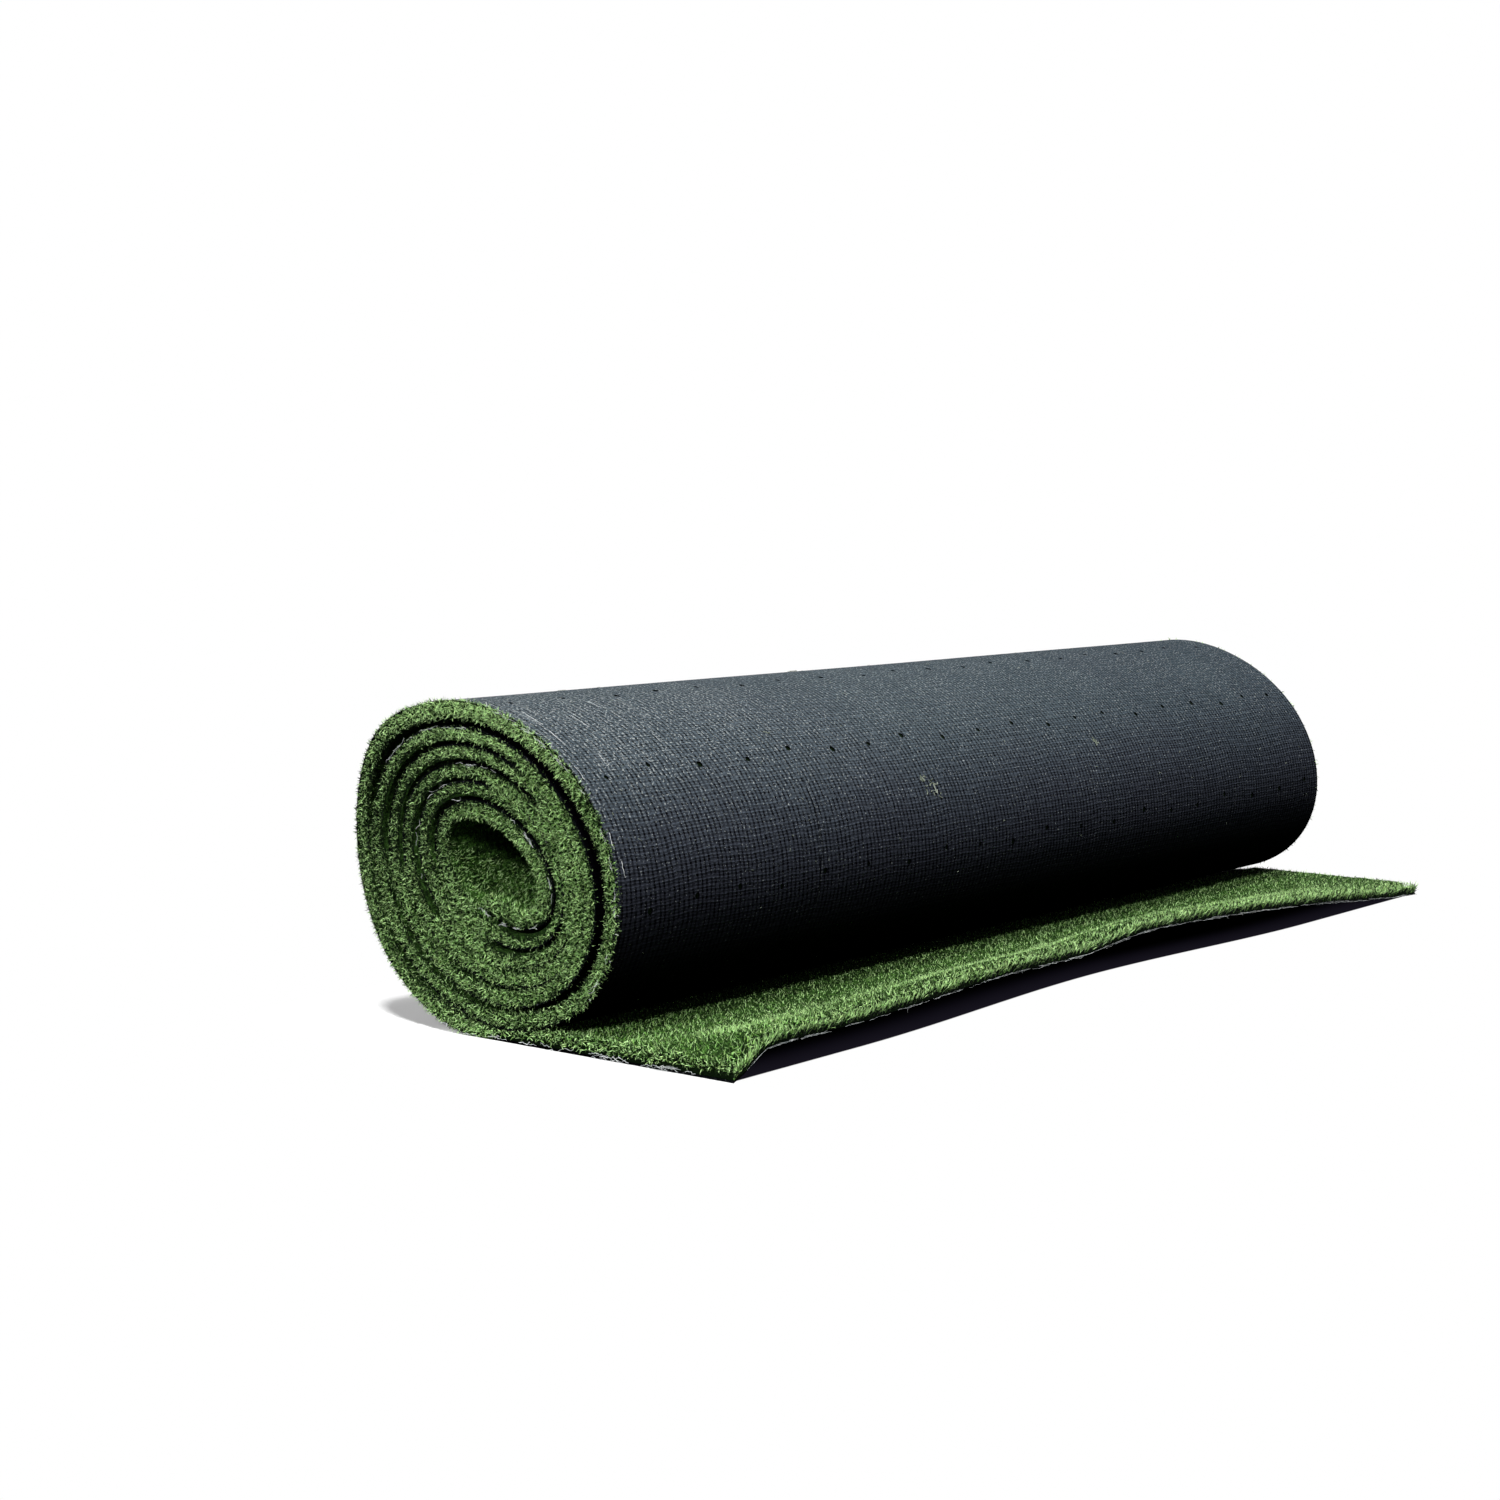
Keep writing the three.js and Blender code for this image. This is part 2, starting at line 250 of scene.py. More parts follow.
class TurfBackingSettings(bpy.types.PropertyGroup):
    """The woven backing"""

    cloth: colour("Cloth", "Coated weave", (0.067, 0.091, 0.110))
    # Painted shade in the slots between the weave's ribs and in the crease.
    slot: colour("Slot", "Deep between the weave's ribs", (0.003, 0.004, 0.006))
    # Pale fluff, also used for the painted sheen high up and the painted highlight on the crease's crest.
    fluff_and_highlight: colour("Dust", "Pale fluff on the coat", (0.46, 0.50, 0.50))
    cut: colour("Cut", "The cut edge, where no thread is torn", (0.004, 0.005, 0.006))
    # Painted shade: near black, for the backing inside the coil and low down under it.
    painted_shade: colour("Hidden", "The backing inside the coil and under it", (0.0012, 0.0010, 0.0018))
    thread: colour("Thread", "Threads of the cut edge", (0.93, 0.96, 0.96))
    soiled_thread: colour("Soiled thread", "Their darker stretches", (0.46, 0.50, 0.51))
    fibre: colour("Fibre", "Pile fibres that cling to the backing", (0.42, 0.46, 0.38))
    soiled_fibre: colour("Soiled fibre", "Their darker stretches", (0.14, 0.17, 0.12))
    tuft_gauge: length("Tuft gauge", "From one row of tufts to the next", 0.0095)
    stitch: length("Stitch", "From tuft to tuft in a row", 0.0046)
    rib: length("Rib", "From one thick crossing yarn to the next", 0.0105)
    outer_from: length("Outer from", "Along the sheet, to where its backing shows on the outside", 4.9)
    cut_edge: length("Cut edge", "From the roll's middle to the backing's cut edges", 1.0)
    hole_diameter: length("Hole diameter", "Drainage hole", 0.009)
    hole_spacing: length("Hole spacing", "From hole to hole in a row", 0.099)
    row_spacing: length("Row spacing", "From one row of holes to the next", 0.191)
    first_row: length("First row", "From the free edge to the first row of holes", 0.07)
    hole_stray: length("Hole stray", "How far off its place a hole may be", 0.007)
    fluff: count("Fluff", "Short fibres stuck to the open backing", 150)


class TurfPileSettings(bpy.types.PropertyGroup):
    """The green pile"""

    # Near black: painted shade deep among the blades and in the pile.
    root: colour("Root", "Blades where they leave the backing", (0.003, 0.009, 0.002))
    blade: colour("Blade", "Middle of the blades", (0.205, 0.510, 0.090))
    # Partly lighter blades, partly painted light on the tips.
    tip: colour("Tip", "Lighter blades and tips", (0.58, 0.88, 0.38))
    straw: colour("Straw", "Yellower blades here and there", (0.42, 0.52, 0.16))
    blade_width: length("Blade width", "Across one blade", 0.0013)
    end_blades: count("End blades", "Fine blades on the -Y end", 50000)
    end_curls: count("End curls", "Curled blades on the -Y end", 9000)
    far_end_blades: count("Far end blades", "Blades on the +Y end", 9000)
    top_blades: count("Top blades", "Blades on the flat end", 44000)
    side_blades: count("Side blades", "Blades on the flat end's -Y side", 1900)
    edge_blades: count("Edge blades", "Blades along the free edge", 6000)
    core_blades: count("Core blades", "Blades inside the coil", 20000)
    seed: count("Seed", "Start of the random draws", 7)


class TurfStageSettings(bpy.types.PropertyGroup):
    """The floor, the light and the camera"""

    floor: colour("Floor", "Pale floor", (0.97, 0.97, 0.97))
    floor_size: length("Floor size", "From the middle to each side", 60)
    bounce: colour("Floor bounce", "What the floor throws back at the roll", (0.06, 0.06, 0.06))
    # Colour of the floor's painted shadow under the roll.
    under: colour("Floor under", "The floor in the dark under the roll", (0.008, 0.007, 0.012))
    shadow_reach: length("Shadow reach", "How far from the roll its shadow has faded away", 0.16)
    main_light: strength("Main light", "From above and in front", 2.9)
    fill_light: strength("Fill light", "Half high, from in front", 2.4)
    back_light: strength("Back light", "Wide, from behind", 0.25)
    room_light: strength("Room light", "From all round", 0.014)
    camera_place: location("Camera place", "Where the camera stands", (2.398, -3.527, 0.744))
    camera_yaw: angle("Camera yaw", "Turned left from +Y", 38.758)
    camera_pitch: angle("Camera pitch", "Tilted down", 5.636)
    lens: lens_length("Lens", "Focal length on a 36 mm wide sensor", 63.06)


GROUPS = {
    "turf_sheet": TurfSheetSettings,
    "turf_backing": TurfBackingSettings,
    "turf_pile": TurfPileSettings,
    "turf_stage": TurfStageSettings,
}


# ---------------------------------------------------------------- the wound sheet


def hump(offset, spread):
    """1 in the middle of a smooth hump, and 0 from its spread on."""
    return np.where(np.abs(offset) < spread, np.cos(np.pi / 2 * offset / spread) ** 2, 0)


def smooth_step(value, low, high):
    share = np.clip((value - low) / (high - low), 0, 1)
    return share * share * (3 - 2 * share)


def seam_open(turn):
    """0 where the turns touch and up to 1 where they gape, by the turn whose backing faces the seam."""
    turn = np.asarray(turn, float)
    widths = [
        wide * smooth_step(turn, low - SEAM_FADE, low) * (1 - smooth_step(turn, high, high + SEAM_FADE))
        for low, high, wide in OPEN_SEAMS
    ]
    return np.max(widths, axis=0)


def seam_depth(turn):
    """How deep the seam outside a turn is sunk between the blades, from 0 to 1."""
    side = hump((np.asarray(turn, float) % 1) - 0.8, 0.22)
    return np.maximum(np.minimum(seam_open(turn), 1), 0.12 + 0.42 * side)


def curve_through(rows, column):
    """A smooth curve, never below 0, through one column of rows that begin with where each value holds."""
    places = np.array([row[0] for row in rows], float)
    values = np.array([row[column] for row in rows], float)

    def value(at):
        inside = np.clip(at, places[0], places[-1])
        after = np.clip(np.searchsorted(places, inside), 1, len(places) - 1)
        share = (inside - places[after - 1]) / (places[after] - places[after - 1])
        start, end = values[after - 1], values[after]
        leave = (end - values[np.maximum(after - 2, 0)]) / 2
        arrive = (values[np.minimum(after + 1, len(values) - 1)] - start) / 2
        cubic = (2 * (start - end) + leave + arrive) * share**3
        square = (3 * (end - start) - 2 * leave - arrive) * share**2
        return np.maximum(cubic + square + leave * share + start, 0)

    return value


def distance_to_lines(point, corners):
    """The shortest distance from a point to a polyline."""
    starts, ways = corners[:-1], np.diff(corners, axis=0)
    share = np.clip(((point - starts) * ways).sum(1) / (ways * ways).sum(1), 0, 1)
    return np.hypot(*(starts + ways * share[:, None] - point).T).min()


class Sheet:
    """Where every point of the wound sheet lies, in metres.

    A step counts along the sheet from its inner end to its free edge, a share runs from the -Y edge to the +Y
    edge, and a depth is measured from the backing's outer face towards the pile's tips.
    """

    def __init__(self, settings):
        self.s = s = settings
        self.foot = s.backing_thickness + s.layer_gap
        self.pitch = self.foot + s.pile_height + s.layer_gap + s.turn_slack
        reach = self.pitch * s.turns
        lowest = math.atan2(
            -(s.core_half_height + reach) * math.cos(s.lean), (s.core_half_length + reach) * math.sin(s.lean)
        )
        self.wound = FULL_TURN * s.turns + lowest - s.start
        self.coil_steps = math.ceil(self.wound / FULL_TURN * STEPS_PER_TURN)
        self.last = self.coil_steps + TAIL_STEPS
        self.near = self.section(curve_through(LOOSE_GAPS, 1))
        self.far = self.section(curve_through(LOOSE_GAPS, 2))
        place = self.near[0]
        self.along = np.concatenate([[0], np.cumsum(np.hypot(*np.diff(place, axis=0).T))])
        self.free_edge = place[-1, 0]
        self.lift_start = self.free_edge - s.lift_reach
        self.edge_height = curve_through(EDGE_LIFTS, 1)
        self.shift = -(min(place[:, 0].min(), self.far[0][:, 0].min()) + self.free_edge) / 2

    def coil(self, wound, loose_gap):
        s = self.s
        turn = wound / FULL_TURN
        angle = wound + s.start
        pressed_offset = (angle - s.pressed_at + math.pi) % FULL_TURN - math.pi
        pressed = s.pressed_depth * (turn / s.turns) * hump(pressed_offset, s.pressed_spread)
        growth = self.pitch * turn + loose_gap(np.degrees(self.wound - wound)) - pressed
        along = (s.core_half_length + growth) * np.cos(angle)
        across = (s.core_half_height + growth) * np.sin(angle)
        x = s.turn_drift * (s.turns - turn) + along * math.cos(s.lean) + across * math.sin(s.lean)
        z = s.turn_settle * (s.turns - turn) + across * math.cos(s.lean) - along * math.sin(s.lean)
        return np.stack([x, z], -1)

    def section(self, loose_gap):
        """Points on the backing's outer face, the ways to the pile, and the heights of the pile."""
        s = self.s
        steps = np.arange(self.coil_steps + 1)
        place = self.coil(np.minimum(FULL_TURN * steps / STEPS_PER_TURN, self.wound), loose_gap)
        lowest = place[-1].copy()
        place[:, 1] -= lowest[1] + s.sag
        height = place[:, 1]
        in_band = np.maximum(s.sag - np.abs(height), 0)
        rested = np.maximum(height, 0) + in_band**2 / (4 * s.sag)
        place[:, 1] = np.where(steps > self.coil_steps - STEPS_PER_TURN // 2, rested, height)
        tail_x = lowest[0] + s.tail_length * np.arange(1, TAIL_STEPS + 1) / TAIL_STEPS
        place = np.concatenate([place, np.stack([tail_x, np.zeros(TAIL_STEPS)], -1)])
        way = np.gradient(place, axis=0)
        way /= np.hypot(*way.T)[:, None]
        pile = np.full(len(place), s.pile_height)
        for i in range(STEPS_PER_TURN // 2 + 2, len(place)):
            inside = place[: min(i - STEPS_PER_TURN // 2, self.coil_steps)]
            room = distance_to_lines(place[i], inside)
            pile[i] = min(s.pile_height, room - s.backing_thickness - 2 * s.layer_gap)
        return place, np.stack([-way[:, 1], way[:, 0]], -1), pile

    def degrees_to_ground(self, step):
        return np.degrees(self.wound - FULL_TURN * np.asarray(step) / STEPS_PER_TURN)

    def pile_at(self, step):
        return np.minimum(self.near[2][step], self.far[2][step])

    def wave(self, step, y):
        """Soft waves of the outer turn, only ever outwards."""
        degrees = self.degrees_to_ground(step)
        free = smooth_step(degrees, *SLACK_FROM) * smooth_step(degrees, *SLACK_TO)
        u = self.along[step]
        ripple = np.sin(3.1 * y + 5 * u + 1.3) + np.sin(7.3 * y - 3.7 * u + 0.4) * 0.6
        ripple += np.sin(1.7 * y + 11 * u) * 0.7
        return free * self.s.slack_wave * (ripple + 2.3) / 4.6

    def wander(self, step):
        u = self.along[step]
        return self.s.edge_wander * (np.sin(4.1 * u + 0.5) * 0.6 + np.sin(9.7 * u + 2.1) * 0.4)

    def points(self, step, share, depth):
        """Points for steps, shares and depths, which broadcast. A step may lie between two whole ones."""
        step, share, depth = np.broadcast_arrays(step, share, depth)
        low = np.clip(np.floor(step).astype(int), 0, self.last - 1)
        part = (step - low)[..., None]
        near, far = (
            [rows[low] * (1 - part) + rows[low + 1] * part for rows in (place, way)]
            for place, way, _ in (self.near, self.far)
        )
        whole = np.clip(np.round(step).astype(int), 0, self.last)
        y = (share - 0.5) * self.s.width
        out = (depth - self.wave(whole, y))[..., None]
        across = share[..., None]
        flat = (near[0] + near[1] * out) * (1 - across) + (far[0] + far[1] * out) * across
        raised = np.where(
            step > self.coil_steps,
            self.edge_height(share) * smooth_step(flat[..., 0], self.lift_start, self.free_edge),
            0,
        )
        return np.stack([flat[..., 0] + self.shift, y + self.wander(whole), flat[..., 1] + raised], -1)

    def to_pile(self, step, share):
        """The way from the backing to the tips, as the sheet lies."""
        away = self.points(step, share, self.foot + 0.001) - self.points(step, share, self.foot)
        return away / np.linalg.norm(away, axis=-1)[..., None]

    def step_at(self, from_free_edge):
        """The step, with its fraction, at a length along the sheet from its free edge."""
        return float(np.interp(self.along[-1] - from_free_edge, self.along, np.arange(self.last + 1)))


# ---------------------------------------------------------------- meshes


def new_object(name, points, faces, material=None, edges=()):
    mesh = bpy.data.meshes.new(name)
    mesh.from_pydata([tuple(p) for p in points], edges, [tuple(f) for f in faces])
    if material:
        mesh.materials.append(material)
    obj = bpy.data.objects.new(name, mesh)
    bpy.context.scene.collection.objects.link(obj)
    return obj


def store(mesh, name, values, kind="FLOAT", domain="POINT"):
    attribute = mesh.attributes.new(name, kind, domain)
    field = "vector" if kind == "FLOAT_VECTOR" else "value"
    attribute.data.foreach_set(field, np.asarray(values, np.float32).ravel())


def store_uv(mesh, values):
    """One UV pair for each corner of each face."""
    layer = mesh.uv_layers.new(name="UVMap")
    layer.data.foreach_set("uv", np.asarray(values, np.float32).ravel())


def smooth(mesh, sharp_degrees=40):
    mesh.polygons.foreach_set("use_smooth", np.ones(len(mesh.polygons), bool))
    mesh.set_sharp_from_angle(angle=math.radians(sharp_degrees))


def face_outward(mesh):
    work = bmesh.new()
    work.from_mesh(mesh)
    bmesh.ops.recalc_face_normals(work, faces=work.faces)
    work.to_mesh(mesh)
    work.free()


class Layer:
    """A closed layer of the sheet between two depths, as points, faces and the flat place of each corner."""

    def __init__(self, sheet, steps, columns, low, high, inset=0.0):
        self.sheet = sheet
        self.points, self.faces, self.uvs, self.depths, self.rows = [], [], [], [], []
        for step in steps:
            shares = np.linspace(inset, 1 - inset, columns(step) + 1)
            self.rows.append((step, shares, self.row(step, shares, low), self.row(step, shares, high)))
        for here, after in zip(self.rows[:-1], self.rows[1:]):
            self.between(here, after, 2, False)
            self.between(here, after, 3, True)
            for side in (0, -1):
                corners = [here[2][side], after[2][side], after[3][side], here[3][side]]
                self.face(corners, side == -1, "end")
        for row, flip in ((self.rows[0], True), (self.rows[-1], False)):
            for a in range(len(row[1]) - 1):
                self.face([row[2][a], row[2][a + 1], row[3][a + 1], row[3][a]], flip, "tip")

    def row(self, step, shares, depth):
        value = depth(step, shares)
        first = len(self.points)
        self.points.extend(self.sheet.points(np.full(len(shares), step), shares, value))
        y = (shares - 0.5) * self.sheet.s.width
        flat = self.sheet.along[step]
        self.depths.extend((flat, across, d) for across, d in zip(y, np.broadcast_to(value, shares.shape)))
        return list(range(first, first + len(shares)))

    def between(self, here, after, index, flip):
        a, b = here[index], after[index]
        coarse, fine, swap = (a, b, False) if len(a) <= len(b) else (b, a, True)
        ratio = (len(fine) - 1) // (len(coarse) - 1)
        for i in range(len(coarse) - 1):
            fine_part = fine[i * ratio : (i + 1) * ratio + 1]
            corners = [coarse[i], coarse[i + 1], *reversed(fine_part)]
            self.face(corners, flip != swap, "flat")

    def face(self, corners, flip, kind):
        corners = corners[::-1] if flip else corners
        self.faces.append(corners)
        for corner in corners:
            along, across, depth = self.depths[corner]
            beside = CUT_SIDE_UV + depth
            self.uvs.append({"flat": (along, across), "end": (along, beside), "tip": (beside, across)}[kind])

    def build(self, name, material, pile_share=None):
        obj = new_object(name, self.points, self.faces, material)
        store_uv(obj.data, self.uvs)
        if pile_share:
            store(obj.data, "depth", [pile_share(d) for _, _, d in self.depths])
        face_outward(obj.data)
        smooth(obj.data)
        return obj


# ---------------------------------------------------------------- node graphs


def maths_method(operation, swapped=False):
    """A method that adds a Math node for the socket, whose first input is the other value where swapped."""

    def method(self, *others):
        values = (*others, self) if swapped else (self, *others)
        return self.graph.add("ShaderNodeMath", {"operation": operation}, dict(enumerate(values)))

    return method


class Socket:
    """A node's output, which takes part in sums as a number does."""

    def __init__(self, graph, socket):
        self.graph, self.socket = graph, socket

    __add__, __radd__ = maths_method("ADD"), maths_method("ADD", swapped=True)
    __sub__, __rsub__ = maths_method("SUBTRACT"), maths_method("SUBTRACT", swapped=True)
    __mul__, __rmul__ = maths_method("MULTIPLY"), maths_method("MULTIPLY", swapped=True)
    __truediv__, __rtruediv__ = maths_method("DIVIDE"), maths_method("DIVIDE", swapped=True)
    __pow__ = maths_method("POWER")
    sin = maths_method("SINE")
    size = maths_method("ABSOLUTE")
    above = maths_method("MAXIMUM")


class Graph:
    """Builds nodes in a tree."""

    def __init__(self, tree):
        self.tree = tree

    def add(self, kind, settings=None, sockets=None, output=0):
        """One node: its settings first, then a value or a link for each socket, by name or number.

        It comes back as one of its outputs, where it has any.
        """
        node = self.tree.nodes.new(kind)
        for name, value in (settings or {}).items():
            setattr(node, name, value)
        for key, value in (sockets or {}).items():
            self.put(value, node.inputs[key])
        return Socket(self, node.outputs[output]) if node.outputs else None

    def put(self, value, target):
        """Links a socket to the target, or sets the target to a plain value."""
        if isinstance(value, Socket):
            self.tree.links.new(value.socket, target)
        else:
            target.default_value = value

    def place(self):
        """Object coordinates."""
        return self.add("ShaderNodeTexCoord", output="Object")

    def parts(self, vector):
        """The x, y and z of a vector."""
        node = self.add("ShaderNodeSeparateXYZ", None, {0: vector}).socket.node
        return [Socket(self, out) for out in node.outputs]

    def attribute(self, name):
        return self.add("ShaderNodeAttribute", {"attribute_name": name}, output="Fac")

    def step(self, value, low, high):
        """0 below low and 1 above high, or the other way round where high is the smaller."""
        settings = {"interpolation_type": "SMOOTHSTEP"}
        sockets = {"Value": value, "From Min": low, "From Max": high}
        return self.add("ShaderNodeMapRange", settings, sockets)

    def mix(self, share, first, second, blend="MIX"):
        """A colour between two."""
        node = self.add("ShaderNodeMix", {"data_type": "RGBA", "blend_type": blend}).socket.node
        sockets = {socket.identifier: socket for socket in (*node.inputs, *node.outputs)}
        self.put(share, sockets["Factor_Float"])
        self.put(opaque(first), sockets["A_Color"])
        self.put(opaque(second), sockets["B_Color"])
        return Socket(self, sockets["Result_Color"])

    def sine(self, value, period):
        """A wave from 0 to 1 of a length."""
        return (value * (FULL_TURN / period)).sin() * 0.5 + 0.5

    def vector(self, x, y, z):
        return self.add("ShaderNodeCombineXYZ", None, {"X": x, "Y": y, "Z": z})

    def noise(self, place, scale, detail=2.0, roughness=0.5, distortion=0.0):
        sockets = {"Vector": place, "Scale": scale, "Detail": detail}
        sockets.update(Roughness=roughness, Distortion=distortion)
        return self.add("ShaderNodeTexNoise", None, sockets)

    def bump(self, height, strength, distance):
        sockets = {"Strength": strength, "Distance": distance, "Height": height}
        return self.add("ShaderNodeBump", None, sockets)

    def vectors(self, operation, first, second):
        return self.add("ShaderNodeVectorMath", {"operation": operation}, {0: first, 1: second})

    def scaled(self, vector, scale):
        return self.add("ShaderNodeVectorMath", {"operation": "SCALE"}, {0: vector, "Scale": scale})

    def random(self, low, high, seed, kind="FLOAT"):
        """A random value for each point."""
        node = self.add("FunctionNodeRandomValue", {"data_type": kind}).socket.node
        for target, value in zip([socket for socket in node.inputs if socket.enabled], (low, high)):
            self.put(value, target)
        self.put(seed, node.inputs["Seed"])
        return Socket(self, next(out for out in node.outputs if out.enabled))

    def named(self, name, kind="FLOAT_VECTOR"):
        """An attribute of the geometry."""
        return self.add("GeometryNodeInputNamedAttribute", {"data_type": kind}, {"Name": name})


def opaque(value):
    return value if isinstance(value, Socket) else (*value[:3], 1)


def shaded(value, factors):
    return tuple(part * factor for part, factor in zip(value, factors))


def new_material(name, **uniform):
    """A material with one Principled shader, and the graph that feeds it."""
    material = bpy.data.materials.new(name)
    material.use_nodes = True
    shader = material.node_tree.nodes["Principled BSDF"]
    for socket, value in uniform.items():
        shader.inputs[socket.replace("_", " ")].default_value = value
    return material, Graph(material.node_tree), shader


def feed(graph, shader, **links):
    for socket, value in links.items():
        graph.put(value, shader.inputs[socket.replace("_", " ")])


def seen_by_camera_or_mirror(graph):
    outputs = graph.add("ShaderNodeLightPath").socket.node.outputs
    camera, glossy, through = (
        Socket(graph, outputs[f"Is {kind} Ray"]) for kind in ("Camera", "Glossy", "Transmission")
    )
    return camera + glossy + through


def settings_of(name):
    return getattr(bpy.context.scene, name)


# ---------------------------------------------------------------- materials


def backing_cloth():
    """Ladders of dark slots between the tuft rows, with crossing yarns and pale fluff on the ribs."""
    s = settings_of("turf_backing")
    material, g, shader = new_material("coated_weave", Specular_IOR_Level=0.0)
    along, across, _ = g.parts(g.add("ShaderNodeUVMap", {"uv_map": "UVMap"}))
    place = g.place()
    _, y, z = g.parts(place)

    def woven_noise(per_metre_along, per_metre_across, start, detail=2, roughness=0.6):
        spot = g.vector(along * per_metre_along, across * per_metre_across, start)
        return g.noise(spot, 1.0, detail, roughness)

    ripple, sway, patch = g.noise(place, 75, 2), g.noise(place, 8, 2), g.noise(place, 5.5, 3, 0.6)
    spots, breaks = woven_noise(260, 150, 0.0), woven_noise(45, 28, 5.0)
    worn = woven_noise(95, 60, 3.0, roughness=0.5)

    # The weave: slots between the rows of tufts, broken by rungs, and ribs across them. The slots are painted
    # dark as shade in the recesses, and the raised beads and crossing yarns are painted lighter as lit tops.
    column = g.sine(across + ripple * 0.0040 + sway * 0.012, s.tuft_gauge)
    rung = g.sine(along + ripple * 0.0018 + sway * 0.010, s.stitch)
    rib = g.sine(along + sway * 0.020 + ripple * 0.004, s.rib)
    slot = g.step(column + (worn - 0.5) * 0.8, 0.52, 0.22)
    between = g.step(rib + (breaks - 0.5) * 1.6, 0.45, 0.1)
    dashes = slot * (1 - g.step(rung, 0.45, 0.85) * 0.7) * g.step(worn, 0.30, 0.60)
    deep = dashes * 0.92 + between * (0.05 + slot * 0.16)
    bead = g.step(rung + (spots - 0.5) * 1.1, 0.52, 0.95) * (1 - slot)
    crossing = g.step(rib + (breaks - 0.5) * 1.2, 0.72, 1.0)
    raised = bead * 0.50 + crossing * 0.24 + patch * 0.10
    duller = g.step(g.noise(place, 3.3, 3), 0.42, 0.66)
    coat = g.mix(duller, s.cloth, shaded(s.cloth, (0.98, 0.88, 0.92)))
    ribs = g.mix(raised, shaded(s.cloth, (0.55,) * 3), shaded(s.cloth, (2.8,) * 3))
    woven = g.mix(deep, g.mix(0.65, coat, ribs), s.slot)

    # Dust settles high up, where a sheen is painted too, both fainter far off. Low down and inside the coil
    # the cloth is painted darker as shade, near black at the bottom, and low down that shade gets a painted
    # purple tint.
    high_up = g.step(z, 0.20, 0.47)
    near_end, far_off = g.step(y, -0.2, -1.0), g.step(y, -0.3, 1.0)
    # Painted sheen with the dust, lighter high up.
    top_sheen_and_fluff = high_up * (0.7 + patch * 0.5) * (1 - far_off * 0.7)
    with_sheen_and_fluff = g.mix(top_sheen_and_fluff * (1 - deep * 0.7) * 0.08, woven, s.fluff_and_highlight)
    # Painted purple tint of the shade low down.
    tinted = g.mix(g.step(z, 0.40, 0.16), with_sheen_and_fluff, LOW_SHADE_TINT, "MULTIPLY")
    outside = g.step(along, s.outer_from - 0.25, s.outer_from)
    # Share free of painted shade: none near the floor, all from high up.
    unshaded = g.step(z, 0.05, 0.42) * (1 - far_off * 0.1)

    # A crease runs up the outer turn, painted as a dark line of shade with a painted highlight along its
    # crest.
    crease_line = y - z * 0.088 + (ripple - 0.5) * 0.006 + 0.578
    creased = g.step(z, 0.12, 0.17) * g.step(z, 0.345, 0.315) * outside
    crease = g.step(crease_line.size(), 0.0022, 0.0008) * creased * g.step(worn, 0.36, 0.52)
    crest = g.step((crease_line - 0.003).size(), 0.0018, 0.0006) * creased * g.step(spots, 0.48, 0.60)
    ridged = g.mix(crest * 0.45, g.mix(crease * 0.9, tinted, s.slot), s.fluff_and_highlight)
    # Painted shade: inside the coil and low down the cloth turns near black.
    darker = g.mix(outside * unshaded, s.painted_shade, ridged)

    # Specks of fluff, and bare warp near the -Y end.
    lint = woven_noise(300, 240, 9.0, 1, 0.5)
    fluff = g.step(lint + patch * 0.08 + high_up * (0.05 + near_end * 0.05) + bead * 0.03, 0.72, 0.77)
    warp = g.step(woven_noise(9, 110, 2.0), 0.57, 0.70) * near_end * high_up * g.step(rung, 0.2, 0.8)
    specks = (fluff * 0.9).above(warp * 0.7)
    sheet_colour = g.mix(specks * outside * unshaded, darker, s.fluff_and_highlight)

    at_edge = g.step(y.size(), s.cut_edge - 0.001, s.cut_edge - 0.0004)
    torn = g.step(g.noise(place, 160, 3, 0.7), 0.60, 0.74) * 0.4
    base = g.mix(at_edge, sheet_colour, g.mix(torn, s.cut, s.fluff_and_highlight))
    height = bead * 0.3 + crossing * 0.25 - deep * 1.1 + spots * 0.2 + fluff * 0.25
    feed(g, shader, Base_Color=base, Roughness=0.7 + patch * 0.15, Normal=g.bump(height, 0.9, 0.0018))
    return material


def pile_mat():
    """The dense pile under the loose tips, dark towards the roots, where the black backing shows and shade is
    painted, and painted lighter at its top as light.
    """
    s = settings_of("turf_pile")
    material, g, shader = new_material("pile_mass", Specular_IOR_Level=0.05)
    depth, place = g.attribute("depth"), g.place()
    fine, clump = g.noise(place, 620, 3, 0.7, 0.8), g.noise(place, 150, 3, 0.6)
    lit = g.step(fine * 0.7 + clump * 0.4, 0.46, 0.80)
    dark = g.mix(lit * (g.step(depth, 0.15, 0.8) * 0.3 + g.step(depth, 0.79, 0.83) * 0.6), s.root, s.blade)
    light = g.mix(g.step(lit * depth, 0.45, 0.9) * 0.1, dark, s.tip)
    bump = g.bump(fine * 0.7 + clump * 0.5, 0.9, 0.004)
    feed(g, shader, Base_Color=light, Roughness=0.95 - lit * 0.1, Normal=bump)
    return material


